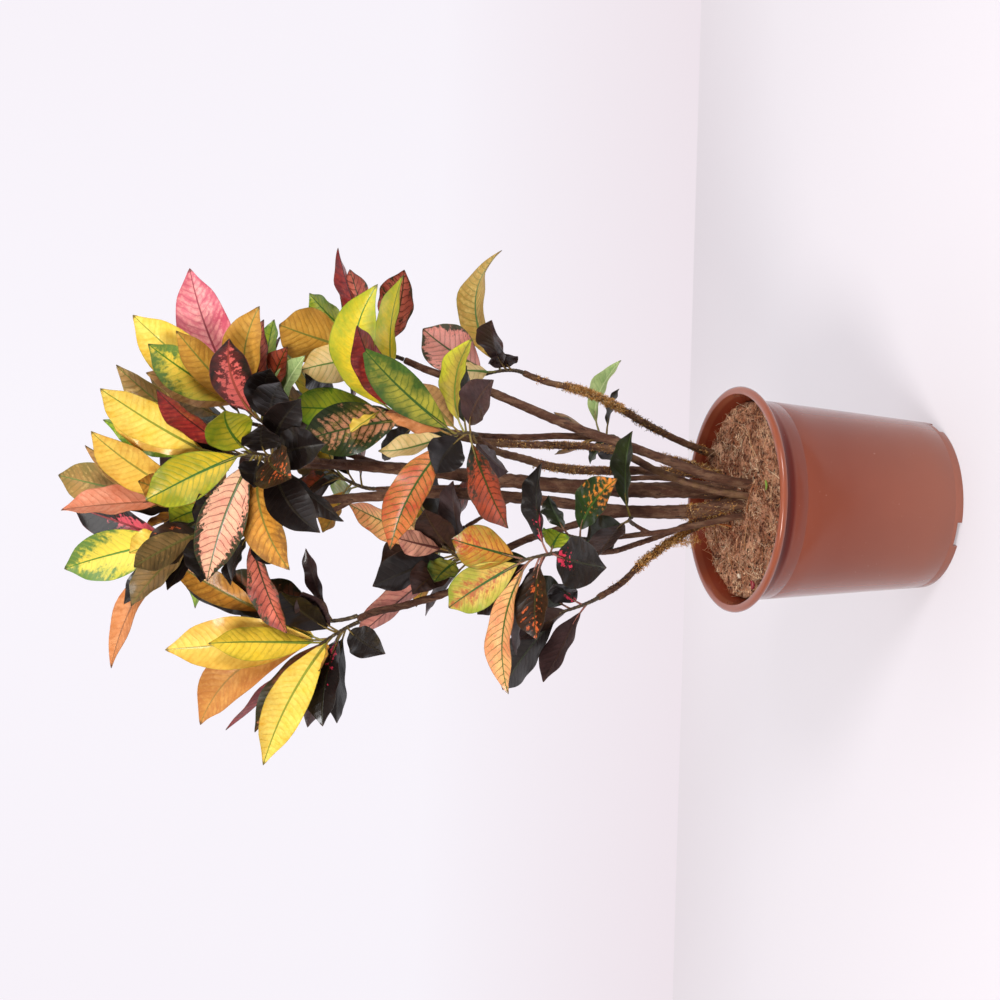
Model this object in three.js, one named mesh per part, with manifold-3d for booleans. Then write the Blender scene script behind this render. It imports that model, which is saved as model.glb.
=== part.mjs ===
// A potted croton: several woody stems in a round nursery pot, each ending in heads of broad leaves.
// Units are millimetres, +Z is up, the front of the plant looks along -Y.
// The origin is on the pot's axis, on the plane that the pot stands on.

import * as THREE from "three";
import { mergeVertices } from "three/addons/utils/BufferGeometryUtils.js";
import Module from "manifold-3d";

// Driving dimensions of the pot
const POT_HEIGHT = 255;
const POT_BASE_RADIUS = 101;
const POT_SHOULDER_RADIUS = 120;
const POT_SHOULDER_HEIGHT = 229;
const POT_LIP_RADIUS = 135;
const POT_LIP_THICKNESS = 8;
const POT_MOUTH_RADIUS = 125;
const POT_WALL = 2.4;
const POT_FLOOR_HEIGHT = 8;
const POT_FOOT_WIDTH = 5.5;
const POT_FOOT_SLOPE = 1;
const POT_FOOT_EDGE = [0.8, 1.2];
const POT_SEGMENTS = 40;

// The rim's flare, each [out, up] from the shoulder
const RIM_FLARE = [[2.2, 9], [6, 15]];

// The rolled lip, each [in from its widest, up from its middle]
const LIP_ROLL = [[3.5, -4], [0.9, -2], [0, 0], [0.9, 2.4], [3.6, 4]];

// The mouth's inside, each [in from the mouth's edge, down from the top]
const MOUTH_SLOPE = [[-3, 0], [0, 3], [2.4, 11], [5.6, 18]];

// Four drain notches through the foot ring, the first turned a little left of the front
const NOTCH_COUNT = 4;
const NOTCH_WIDTH = 30;
const NOTCH_HEIGHT = 6.5;
const NOTCH_TURN = -20;

// Holes in the pot's floor, beside the foot ring
const DRAIN_COUNT = 8;
const DRAIN_RADIUS = 6;
const DRAIN_CIRCLE = 78;
const DRAIN_SIDES = 8;

// Soil: level near the wall, heaped a little round the foot of the stems
const SOIL_LEVEL = 240;
const SOIL_HEAP = 7;
const SOIL_HEAP_SPREAD = 60;
const SOIL_HEAP_CENTRE = [8, 45];
const SOIL_LUMP = 1.2;
const SOIL_LUMP_WAVES = [0.11, 0.13];
const SOIL_WALL_ROOM = 0.6;
const SOIL_TOP_SPREAD = 0.6;
const SOIL_SEGMENTS = 30;
const SOIL_RINGS = 5;

// Clearance that neighbouring pieces keep
const GAP = 0.3;

// Stems stand this far down in plain holes in the soil
const STEM_SOCKET_DEPTH = 60;
const STEM_SIDES = 7;

// A leafy shoot is green and thinner than the wood that it grows from
const SHOOT_BASE_RADIUS = 3;
const SHOOT_TIP_RADIUS = 2;
const SHOOT_SIDES = 5;
const SHOOT_STEPS = 4;
const SHOOT_BEND = 0.4;
const SHOOT_LEAFY_FROM = 0.3;
const TWIN_SHOOT_SPACING = 7.5;

// Leaf: a stalk, then a blade that is widest a little past its middle and comes to a point
const STALK_LENGTH = 14;
const STALK_SHARE = 0.2;
const STALK_RADIUS = 1.1;
const STALK_SINK = 1;
const STALK_END_WIDTH = 1.6;
const STALK_END_THICKNESS = 0.8;
const BLADE_HALF_THICKNESS = 0.8;
const BLADE_FULLNESS = 0.85;
const BLADE_SKEW = 1.25;
const BLADE_FOLD = 0.15;
const BLADE_STATIONS = [0.24, 0.54, 0.82];

// A leaf is bent clear of what it would cross. It is tried nearer or farther along the line of
// sight of the plant's front view, which drops 0.36 for each step back, then aside or shorter.
const ROOM_EDGE = 2.5;
const ROOM_RISE = 2.7;
const CLOSE_RISE = 0.8;
const WOOD_ROOM = 1.5;
const SIGHT_DROP = 0.36;
const CLEAR_STEPS = [0, 9, -9, 18, -18, 27, -27, 36, -36, 45, -45, 54, -54, 63, -63, 72, -72];
const CLEAR_ASIDE = [0, 10, -10];
const CLEAR_SCALES = [1, 0.88, 0.76];

// Woody stems: centre line points and radius, each [right, back, up, radius], from the soil up.
// A branch starts on its stem's centre line. Shoots grow from the ends named here.
const STEMS = [
  { name: "outer_left", colour: 0x6b5540, path: [
    [-22, 60, 248, 5.8], [-40, 50, 290, 5.2], [-53, 34, 320, 4.7], [-78, 0, 370, 4.7],
    [-101, -26, 406, 4.7], [-118, -50, 445, 4.7]], branches: {} },
  { name: "left_front", colour: 0x6a4a3c, path: [
    [-17, 40, 249, 4.7], [-32, 30, 299, 4.4], [-46, 12, 343, 4.2], [-57, -15, 388, 4.2],
    [-64, -56, 430, 4.2], [-65, -86, 471, 4.2], [-66, -102, 510, 4.1]], branches: {} },
  { name: "left_inner", colour: 0x6a4a3c, path: [
    [-20, -6, 248, 5.2], [-27, -8, 282, 4.7], [-34, -10, 317, 4.4], [-40, -12, 345, 4.1],
    [-46, -15, 392, 4.0], [-50, -20, 430, 4.0], [-51, -32, 447, 4.0]], branches: {
    front: [[-43, -13, 365, 3.6], [-38, -20, 380, 3.4], [-33, -26, 392, 3.2]] } },
  { name: "thick_left", colour: 0x6a4a3c, path: [
    [-4, -1, 248, 8.6], [-15, 6, 300, 9.3], [-18, 6, 372, 8.1], [-15, 4, 424, 7.3],
    [-10, 4, 474, 7.3], [-5, 4, 537, 7.6], [-3, 6, 585, 7.6], [-3, 8, 633, 7.0],
    [-7, 10, 680, 7.0], [-11, 12, 721, 6.4], [-14, 16, 750, 5.8], [-19, 22, 783, 5.8],
    [-21, 28, 819, 5.2], [-21, 34, 848, 4.7]], branches: {
    low: [[-18, 6, 372, 5.8], [-25, 0, 425, 5.2], [-35, -6, 459, 5.2], [-52, -10, 516, 5.2],
      [-71, -8, 554, 5.2], [-92, -4, 581, 5.2], [-111, 2, 599, 5.2], [-122, 6, 624, 5.2],
      [-128, 8, 644, 5.2], [-134, 8, 665, 5.2], [-140, 6, 695, 5.2], [-148, 0, 717, 4.9]],
    mid: [[-71, -8, 554, 4.1], [-77, 0, 568, 3.8], [-79, 4, 572, 3.5]],
    top: [[-11, 12, 721, 4.1], [-23, 4, 743, 3.8], [-32, -4, 769, 3.5], [-38, -14, 804, 3.5],
      [-41, -20, 833, 3.2]],
    crown: [[-19, 22, 783, 4.1], [-30, 18, 817, 3.8], [-38, 13, 843, 3.5], [-42, 10, 861, 3.2]],
    back: [[-14, 16, 750, 4.1], [-17, 40, 776, 3.8], [-24, 66, 806, 3.5], [-28, 84, 832, 3.2]] } },
  { name: "thick_centre", colour: 0x6a4a3c, path: [
    [9, 20, 248, 11.0], [10, 18, 303, 10.5], [8, 16, 356, 9.9], [8, 12, 421, 9.3],
    [10, 8, 473, 9.3], [15, 4, 550, 8.7], [22, -2, 637, 8.1], [24, -8, 687, 7.6],
    [26, -10, 735, 7.0], [26, -14, 794, 6.4], [27, -18, 824, 5.2], [29, -20, 838, 4.7]], branches: {
    front: [[26, -10, 735, 4.7], [28, -34, 771, 4.4], [29, -54, 800, 4.1], [30, -68, 821, 3.5]],
    right: [[24, -8, 687, 4.7], [37, -2, 731, 4.4], [49, 2, 773, 4.1], [58, 5, 805, 3.5]],
    back: [[37, -2, 731, 4.1], [48, 24, 762, 3.8], [60, 52, 792, 3.5], [68, 72, 818, 3.2]] } },
  { name: "behind", colour: 0x6a4a3c, path: [
    [18, 96, 250, 4.7], [23, 92, 296, 4.2], [23, 86, 337, 4.0], [18, 86, 388, 4.0],
    [12, 86, 464, 3.8], [7, 86, 538, 3.8], [3, 88, 613, 3.6], [0, 88, 674, 3.5]], branches: {
    left: [[12, 86, 464, 3.5], [-6, 92, 500, 3.4], [-28, 98, 534, 3.3], [-42, 102, 556, 3.2]] } },
  { name: "mossy_left", colour: 0x7a6248, path: [
    [29, 54, 248, 7.0], [31, 44, 305, 6.4], [31, 32, 363, 6.1], [29, 14, 421, 5.8],
    [29, 0, 458, 5.8], [32, -18, 499, 5.8], [39, -38, 536, 5.5], [45, -60, 574, 5.2],
    [53, -84, 602, 4.7], [62, -100, 616, 4.1]], branches: {} },
  { name: "mossy_right", colour: 0x7a6248, path: [
    [5, -17, 250, 5.4], [12, -13, 297, 5.6], [21, -9, 329, 5.6], [32, -3, 359, 5.6],
    [44, 5, 381, 5.5], [53, 12, 403, 5.4], [57, 17, 430, 5.2], [57, 14, 484, 5.2], [56, 0, 540, 5.2], [58, -16, 582, 5.2], [63, -36, 620, 4.7],
    [71, -56, 653, 4.1]], branches: {} },
  { name: "back_right", colour: 0x6a4a3c, path: [
    [36, 92, 250, 5.8], [48, 90, 306, 5.2], [63, 86, 367, 5.2], [69, 84, 407, 4.9],
    [70, 84, 446, 4.9], [67, 82, 485, 4.9], [66, 80, 530, 4.7], [68, 80, 568, 4.7],
    [71, 84, 610, 4.7], [77, 86, 651, 4.1], [80, 90, 693, 4.1]], branches: {
    low: [[63, 86, 367, 3.5], [69, 76, 374, 3.2], [71, 66, 383, 2.9]] } },
  { name: "leaning", colour: 0x6a4a3c, path: [
    [19, -24, 249, 6.8], [24, -27, 287, 6.8], [34, -30, 325, 6.7], [48, -33, 372, 6.4],
    [61, -36, 417, 6.4], [75, -36, 468, 6.4], [90, -32, 510, 6.4], [106, -26, 551, 6.1],
    [119, -20, 586, 5.8], [129, -12, 620, 5.8], [138, -4, 647, 5.2], [148, 4, 670, 4.7]], branches: {} },
  { name: "outer_right", colour: 0x7a6248, path: [
    [56, 84, 246, 5.8], [70, 68, 299, 5.2], [88, 48, 351, 5.2], [104, 32, 391, 5.2],
    [116, 20, 425, 4.9], [124, 12, 456, 4.9], [129, 4, 491, 4.7], [134, -1, 512, 4.7],
    [139, -5, 528, 4.4]], branches: {} },
];

// Heads of leaves. "on" names the woody end that the shoot grows from and "top" is the shoot's tip.
// Each leaf is [right, back, up, width, turn, arch]: its tip measured from the shoot's tip, the
// blade's width, the turn of its face about its own line in degrees, and how far its middle rises
// above that line, as a percentage of its length. Leaves are listed from the lowest to the highest.
const HEADS = [
  { name: "centre_front", on: "thick_centre.front", top: [35, -90, 875], leaves: [
    [-70, -40, -100, 32, 5, 10], [-85, -105, -55, 46, -50, 12], [10, -85, -60, 46, 10, 10],
    [55, -65, -40, 40, 55, 10], [-25, -80, -25, 52, -35, 10], [25, -45, -5, 42, 85, 8],
    [-80, 100, -75, 42, -70, 8], [-35, -35, 0, 40, -85, 6], [-125, -25, -45, 48, -40, 14],
    [-140, 10, 15, 42, -5, 4], [-140, -20, 45, 52, -75, 5], [45, -55, 40, 54, 105, 10],
    [-55, 85, 90, 54, -35, 4],
  ] },
  { name: "left_top", on: "thick_left.low", top: [-175, -20, 765], leaves: [
    [-5, -70, -50, 36, -30, 8], [-95, 75, -45, 42, -30, 6], [-90, -25, 5, 44, -40, 8],
    [-60, 10, 5, 38, -20, 4], [-100, 75, -10, 42, -15, 5], [60, -35, 35, 36, 75, 8],
    [55, -35, 60, 40, 90, 5], [-100, -10, 75, 44, -35, 6], [-125, -85, 85, 46, -80, 5],
    [-105, 20, 105, 40, 45, 3], [-30, -35, 10, 30, -25, 6], [-100, 25, 140, 54, -45, 20],
    [-10, 40, 170, 60, -10, 3], [25, -10, 60, 22, 65, 3], [0, 10, 125, 40, 25, -2],
  ] },
  { name: "right_front", on: "mossy_left", top: [60, -110, 650], leaves: [
    [-40, 40, -80, 42, 50, 8], [60, -70, -20, 42, 30, 10], [-100, -60, -45, 46, -25, 4],
    [-40, -35, 25, 44, -95, 8], [85, 50, -30, 38, 10, 3], [110, -10, -15, 44, 15, 16],
    [5, 35, 20, 22, -50, 2], [65, 80, 20, 42, -110, 3], [-125, -25, 75, 46, -50, 9],
    [90, -35, 115, 45, 90, 3], [-20, 70, 60, 34, 25, 0], [25, -10, 80, 36, -45, -3],
  ] },
  { name: "left_front", on: "left_front", top: [-75, -110, 560], leaves: [
    [-5, -90, -60, 58, -10, 8], [35, 40, -60, 36, 95, 3], [110, -10, -10, 44, 15, 10],
    [-45, 35, -20, 30, 0, 3], [-85, -40, 0, 46, -30, 6], [-110, 55, -10, 44, 0, 4],
    [-20, 65, 50, 42, 20, 3], [-65, 60, 35, 42, -10, 3], [-150, -10, 20, 41, -20, 13],
    [-60, 85, 60, 50, -35, 4], [20, 70, 60, 50, 15, 2],
  ] },
  { name: "right_mid_front", on: "mossy_right", top: [90, -55, 715], leaves: [
    [-55, 50, -15, 36, 10, 3], [65, 40, 10, 36, -5, 3], [-40, 5, 90, 60, -70, 3],
    [85, -90, 60, 40, -55, 4], [150, -10, -15, 46, 15, 10], [130, -85, 35, 54, 55, 22],
    [0, 90, 80, 48, 0, 2], [-25, -20, 40, 24, -55, 0],
  ] },
  { name: "crown_yellow", on: "thick_centre", top: [35, -20, 905], leaves: [
    [60, -50, 65, 38, 65, 5], [40, -10, 50, 40, 40, 5], [60, 20, 65, 38, 5, 3],
    [90, 20, 100, 48, 30, 3], [30, 85, 100, 46, -15, 3], [40, 10, 110, 50, 30, 3],
    [65, -20, 120, 50, 85, 4],
  ] },
  { name: "crown_left", on: "thick_left.crown", top: [-65, 15, 930], leaves: [
    [-40, -60, -20, 44, -85, 8], [-55, -10, 5, 36, -35, 8], [-15, -35, 35, 46, 50, 3],
    [-30, -10, 40, 36, 45, 3], [-70, -10, 50, 44, -45, 4], [-70, 10, 55, 38, -20, 3],
    [-145, 35, 60, 36, -20, 12], [-45, 85, 60, 30, 90, 2], [-10, -25, 55, 40, -80, 3],
    [-35, 100, 100, 56, -20, 3], [35, 90, 100, 48, -5, 3],
  ] },
  { name: "crown_right", on: "thick_centre.right", top: [90, 5, 860], leaves: [
    [25, -65, -30, 42, 65, 8], [55, -55, -55, 32, 15, 6], [40, -55, -20, 44, 70, 8],
    [95, -20, -15, 46, 35, 8], [65, -35, -40, 40, 25, 6], [100, 25, -40, 42, 25, 4],
    [105, -65, 0, 50, 40, 14], [70, -65, 30, 46, 90, 10], [85, 35, 25, 44, 30, 4],
    [-40, -40, 40, 38, 20, 3], [150, 15, 60, 60, 60, 6], [75, 10, 65, 36, -70, 2],
    [95, 20, 120, 58, 60, 3], [35, 75, 90, 42, -10, 2], [60, -20, 110, 50, 75, 3],
  ] },
  { name: "crown_back", on: "thick_left", top: [-20, 40, 930], leaves: [
    [-20, -30, 5, 38, -100, 4], [-30, -10, 35, 36, 10, 2], [20, -10, 35, 36, -20, 2],
    [55, 15, 55, 38, 15, 4], [-10, -10, 50, 28, -80, 3], [70, -50, 100, 50, 85, 4],
    [55, 20, 95, 42, -60, 3], [-5, 60, 70, 42, 50, 3], [-10, 10, 120, 46, 0, 3],
    [25, 100, 110, 52, 5, 3],
  ] },
  { name: "right_mid", on: "leaning", top: [155, 0, 735], leaves: [
    [-25, -30, 65, 46, 35, 2], [90, -40, -45, 54, 25, -4], [95, 40, -10, 46, 25, 5],
    [115, 10, 20, 34, -45, 3], [65, 50, 40, 46, 10, 3], [25, -30, 95, 62, -45, 2],
    [-40, 75, 35, 40, -15, 3],
  ] },
  { name: "right_low", on: "outer_right", top: [135, -10, 575], leaves: [
    [25, -30, -5, 36, 75, 4], [55, -60, 20, 40, 45, 6], [155, 80, -40, 50, 25, 20],
    [0, -30, 50, 30, 25, 0], [45, -25, 85, 56, -75, 2],
  ] },
  { name: "left_mid", on: "thick_left.mid", top: [-65, 0, 615], leaves: [
    [-80, 65, 5, 36, 20, 4], [-50, -25, 45, 42, -85, 8], [75, -10, 0, 42, 20, 5],
    [45, -25, 35, 44, 75, 8], [-35, -25, 20, 36, -95, 5], [-110, 30, 95, 42, 70, 6],
    [-50, 20, 50, 34, 65, 3], [-45, 10, 85, 46, 80, 3], [25, 70, 35, 40, 10, 3],
    [35, 50, 30, 32, -10, 3], [10, -15, 65, 30, -15, 2], [45, 105, 90, 40, -5, 3],
  ] },
  { name: "left_low", on: "outer_left", top: [-135, -60, 495], leaves: [
    [-80, -10, 20, 44, -20, 5], [35, -15, 15, 36, 70, 5], [-40, -15, 60, 42, 55, 3],
    [30, 70, 10, 42, 35, 3], [-95, 70, 45, 50, -20, 6],
  ] },
  { name: "left_upper", on: "thick_left.low", top: [-145, 30, 815], leaves: [
    [75, -15, -40, 22, 25, 6], [40, -30, 15, 42, 100, 6], [45, 20, 50, 50, 30, 4],
    [0, 50, 25, 42, -15, 3], [45, 80, 90, 44, -5, 3], [60, -15, 125, 36, 55, 4],
  ] },
  { name: "centre_left", on: "thick_left.top", top: [-60, -25, 865], leaves: [
    [-20, -65, -35, 42, -40, 8], [-50, -10, 15, 40, -15, 5], [-105, -20, -50, 44, -25, 6],
    [45, -75, -50, 42, 10, 8], [-40, 70, 40, 40, -35, 4], [45, -35, 55, 42, 75, 4],
  ] },
  { name: "low_centre", on: "left_inner", top: [-45, -60, 495], leaves: [
    [65, -55, -40, 46, 20, 12], [40, -10, 25, 28, 40, 3],
  ] },
  { name: "low_front", on: "left_inner.front", top: [-25, -60, 410], leaves: [
    [-30, -20, 60, 42, -125, 4], [-55, -10, 45, 42, -65, 6], [100, -20, 15, 42, 10, 8],
  ] },
  { name: "low_back", on: "back_right.low", top: [70, 70, 405], leaves: [
    [-30, 15, 5, 24, 0, 3], [-30, -40, -5, 28, -60, 4], [60, -10, -20, 20, 0, 4],
    [-25, 30, 40, 30, 15, 3], [90, -15, -25, 34, 10, 22], [30, 50, 35, 40, -5, 3],
  ] },
];

// Heads at the back of the plant. Their leaves spread over the rear half by the golden angle.
const BACK_HEADS = [
  { name: "back_crown_left", on: "thick_left.back", top: [-34, 98, 872], reach: 114, leaves: 9 },
  { name: "back_crown_right", on: "thick_centre.back", top: [76, 86, 862], reach: 124, leaves: 9 },
  { name: "back_centre", on: "behind", top: [20, 104, 722], reach: 76, leaves: 9 },
  { name: "back_right", on: "back_right", top: [88, 104, 735], reach: 108, leaves: 8 },
  { name: "back_left", on: "behind.left", top: [-52, 112, 594], reach: 92, leaves: 8 },
];
const BACK_SPREAD = 250;
const BACK_LOWEST_RISE = -25;
const BACK_HIGHEST_RISE = 55;
const BACK_LEAF_WIDTH = 46;
const BACK_TURN_STEP = 12;
const BACK_ARCH = 8;
const BACK_TAPER = 0.25;
const GOLDEN_SHARE = 0.618034;

const POT_FINISH = [0xa2604e, 0.35];
const SOIL_FINISH = [0x6b4a35, 0.95];
const BARK_ROUGHNESS = 0.85;
const LEAF_ROUGHNESS = 0.4;
const LEAF_COLOURS = [0x9a8a35, 0x5a3a30, 0xb07038, 0x6f7a30];

const wasm = await Module();
wasm.setup();

const vec = (x, y, z) => new THREE.Vector3(x, y, z);
const radians = THREE.MathUtils.degToRad;

function toSolid(geometry) {
  const bare = geometry.index ? geometry.clone() : geometry;
  bare.deleteAttribute("normal");
  bare.deleteAttribute("uv");
  const merged = mergeVertices(bare, 1e-4);
  return new wasm.Manifold(new wasm.Mesh({
    numProp: 3,
    vertProperties: new Float32Array(merged.attributes.position.array),
    triVerts: new Uint32Array(merged.index.array),
  }));
}

function toGeometry(solid) {
  const mesh = solid.getMesh();
  const geometry = new THREE.BufferGeometry();
  geometry.setAttribute("position", new THREE.BufferAttribute(new Float32Array(mesh.vertProperties), 3));
  geometry.setIndex(new THREE.BufferAttribute(new Uint32Array(mesh.triVerts), 1));
  geometry.computeVertexNormals();
  return geometry;
}

function part(name, solid, colour, roughness) {
  const material = new THREE.MeshStandardMaterial({ color: colour, roughness, metalness: 0 });
  const mesh = new THREE.Mesh(toGeometry(solid), material);
  mesh.name = name;
  return mesh;
}

// Closed skin over a run of rings with equal numbers of points, ended by a cap or a point
function loft(rings, tip) {
  const sides = rings[0].length;
  const points = rings.flat();
  const faces = [];
  for (let k = 0; k + 1 < rings.length; k++) {
    for (let i = 0; i < sides; i++) {
      const a = k * sides + i;
      const b = k * sides + (i + 1) % sides;
      const mirrored = sides === 4 && i % 2 === 1;
      if (mirrored) faces.push(a, b, a + sides, b, b + sides, a + sides);
      else faces.push(a, b, b + sides, a, b + sides, a + sides);
    }
  }
  for (let i = 1; i + 1 < sides; i++) faces.push(0, i + 1, i);
  const last = (rings.length - 1) * sides;
  if (tip) {
    points.push(tip);
    for (let i = 0; i < sides; i++) faces.push(last + i, last + (i + 1) % sides, points.length - 1);
  } else {
    for (let i = 1; i + 1 < sides; i++) faces.push(last, last + i, last + i + 1);
  }
  const geometry = new THREE.BufferGeometry().setFromPoints(points);
  geometry.setIndex(faces);
  return geometry;
}

// Rings round a centre line, each square to it, without twist from one to the next
function tubeRings(centres, radii, sides, firstDirection) {
  const rings = [];
  let side = null;
  for (let k = 0; k < centres.length; k++) {
    const before = centres[Math.max(k - 1, 0)];
    const after = centres[Math.min(k + 1, centres.length - 1)];
    const along = after.clone().sub(before).normalize();
    if (k === 0 && firstDirection) along.copy(firstDirection);
    if (!side) side = Math.abs(along.x) < 0.9 ? vec(1, 0, 0) : vec(0, 1, 0);
    side = side.clone().addScaledVector(along, -side.dot(along)).normalize();
    const other = along.clone().cross(side);
    const ring = [];
    for (let i = 0; i < sides; i++) {
      const angle = 2 * Math.PI * i / sides;
      ring.push(centres[k].clone()
        .addScaledVector(side, radii[k] * Math.cos(angle))
        .addScaledVector(other, radii[k] * Math.sin(angle)));
    }
    rings.push(ring);
  }
  return rings;
}

function stemTube(rows, grow = 0) {
  const centres = rows.map((row) => vec(row[0], row[1], row[2]));
  return loft(tubeRings(centres, rows.map((row) => row[3] + grow), STEM_SIDES));
}

// The stem's own line goes on down into its hole in the soil
function socketRow(stem, extra = 0) {
  const [x, y, z, radius] = stem.path[0];
  return [x, y, z - STEM_SOCKET_DEPTH - extra, radius];
}

function stemSolid(stem) {
  let solid = toSolid(stemTube([socketRow(stem), ...stem.path]));
  for (const rows of Object.values(stem.branches)) solid = solid.add(toSolid(stemTube(rows)));
  return solid;
}

// Where a woody end stops, and the way it points there
function woodyEnd(key) {
  const [name, branch] = key.split(".");
  const stem = STEMS.find((item) => item.name === name);
  const rows = branch ? stem.branches[branch] : stem.path;
  const point = vec(...rows.at(-1).slice(0, 3));
  const direction = point.clone().sub(vec(...rows.at(-2).slice(0, 3))).normalize();
  return { point, direction };
}

function potSolid() {
  const inner = (height) => POT_BASE_RADIUS - POT_WALL
    + (POT_SHOULDER_RADIUS - POT_BASE_RADIUS) * height / POT_SHOULDER_HEIGHT;
  const floorBottom = POT_FLOOR_HEIGHT - POT_WALL / 2;
  const floorTop = POT_FLOOR_HEIGHT + POT_WALL / 2;
  const lipMiddle = POT_HEIGHT - POT_LIP_THICKNESS / 2;
  const profile = [
    [0, floorBottom],
    [POT_BASE_RADIUS - POT_FOOT_WIDTH - POT_FOOT_SLOPE, floorBottom],
    [POT_BASE_RADIUS - POT_FOOT_WIDTH, 0],
    [POT_BASE_RADIUS - POT_FOOT_EDGE[0], 0],
    [POT_BASE_RADIUS, POT_FOOT_EDGE[1]],
    [POT_SHOULDER_RADIUS, POT_SHOULDER_HEIGHT],
    ...RIM_FLARE.map(([out, up]) => [POT_SHOULDER_RADIUS + out, POT_SHOULDER_HEIGHT + up]),
    ...LIP_ROLL.map(([inward, up]) => [POT_LIP_RADIUS - inward, lipMiddle + up]),
    ...MOUTH_SLOPE.map(([inward, down]) => [POT_MOUTH_RADIUS - inward, POT_HEIGHT - down]),
    [inner(POT_SHOULDER_HEIGHT), POT_SHOULDER_HEIGHT],
    [inner(floorTop), floorTop],
    [0, floorTop],
  ].map(([r, z]) => new THREE.Vector2(r, z));
  let pot = toSolid(new THREE.LatheGeometry(profile, POT_SEGMENTS).rotateX(Math.PI / 2));
  for (let k = 0; k < NOTCH_COUNT; k++) {
    const turn = radians(NOTCH_TURN + k * 360 / NOTCH_COUNT);
    const notch = new THREE.BoxGeometry(NOTCH_WIDTH, 3 * POT_FOOT_WIDTH, 2 * NOTCH_HEIGHT);
    notch.translate(0, -(POT_BASE_RADIUS - POT_FOOT_WIDTH / 2), 0).rotateZ(turn);
    pot = pot.subtract(toSolid(notch));
  }
  for (let k = 0; k < DRAIN_COUNT; k++) {
    const turn = 2 * Math.PI * (k + 0.5) / DRAIN_COUNT;
    const drain = new THREE.CylinderGeometry(DRAIN_RADIUS, DRAIN_RADIUS, 6 * POT_WALL, DRAIN_SIDES);
    drain.rotateX(Math.PI / 2).translate(0, DRAIN_CIRCLE, POT_FLOOR_HEIGHT).rotateZ(turn);
    pot = pot.subtract(toSolid(drain));
  }
  return pot;
}

function soilHeight(x, y) {
  const away = Math.hypot(x - SOIL_HEAP_CENTRE[0], y - SOIL_HEAP_CENTRE[1]);
  const heap = SOIL_HEAP * Math.exp(-((away / SOIL_HEAP_SPREAD) ** 2));
  const lumps = SOIL_LUMP * Math.sin(x * SOIL_LUMP_WAVES[0]) * Math.cos(y * SOIL_LUMP_WAVES[1]);
  return SOIL_LEVEL + heap + lumps;
}

function soilSolid() {
  const floor = POT_FLOOR_HEIGHT + POT_WALL / 2 + GAP;
  const wall = (height) => POT_BASE_RADIUS - POT_WALL - SOIL_WALL_ROOM
    + (POT_SHOULDER_RADIUS - POT_BASE_RADIUS) * height / POT_SHOULDER_HEIGHT;
  const top = wall(POT_SHOULDER_HEIGHT) + SOIL_TOP_SPREAD;
  const profile = [new THREE.Vector2(0, floor), new THREE.Vector2(wall(floor), floor)];
  profile.push(new THREE.Vector2(wall(POT_SHOULDER_HEIGHT), POT_SHOULDER_HEIGHT));
  for (let k = 0; k <= SOIL_RINGS; k++) {
    profile.push(new THREE.Vector2(top * (1 - k / SOIL_RINGS), SOIL_LEVEL));
  }
  const geometry = new THREE.LatheGeometry(profile, SOIL_SEGMENTS).rotateX(Math.PI / 2);
  const position = geometry.attributes.position;
  for (let i = 0; i < position.count; i++) {
    if (position.getZ(i) < SOIL_LEVEL - 1) continue;
    position.setZ(i, soilHeight(position.getX(i), position.getY(i)));
  }
  let soil = toSolid(geometry);
  for (const stem of STEMS) {
    const hole = stemTube([socketRow(stem, GAP), ...stem.path.slice(0, 2)], GAP);
    soil = soil.subtract(toSolid(hole));
  }
  return soil;
}

// The shoot bends from the way its wood points to its own tip
function shootOf(head, place) {
  const end = woodyEnd(head.on);
  const aside = vec(1, 0, 0).addScaledVector(end.direction, -end.direction.x).normalize();
  const base = end.point.clone().addScaledVector(end.direction, GAP).addScaledVector(aside, place);
  const top = vec(...head.top);
  const bend = base.clone().addScaledVector(end.direction, SHOOT_BEND * base.distanceTo(top));
  return { curve: new THREE.QuadraticBezierCurve3(base, bend, top), direction: end.direction };
}

function shootTube(shoot, grow = 0) {
  const centres = shoot.curve.getPoints(SHOOT_STEPS);
  const radii = centres.map((_, k) => grow
    + THREE.MathUtils.lerp(SHOOT_BASE_RADIUS, SHOOT_TIP_RADIUS, k / SHOOT_STEPS));
  return loft(tubeRings(centres, radii, SHOOT_SIDES, shoot.direction));
}

// Line, width and facing of one leaf, from its root on the shoot to its tip
function leafLine(root, tip, row) {
  const [, , , width, turn, arch] = row;
  const along = tip.clone().sub(root);
  const length = along.length();
  along.normalize();
  const rise = vec(0, 0, 1).addScaledVector(along, -along.z).normalize();
  const up = rise.clone().applyAxisAngle(along, radians(turn));
  const bend = root.clone().add(tip).multiplyScalar(0.5).addScaledVector(rise, 2 * length * arch / 100);
  return { curve: new THREE.QuadraticBezierCurve3(root, bend, tip), up, length, width };
}

function bladeHalfWidth(width, share) {
  return width / 2 * Math.sin(Math.PI * share ** BLADE_SKEW) ** BLADE_FULLNESS;
}

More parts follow.
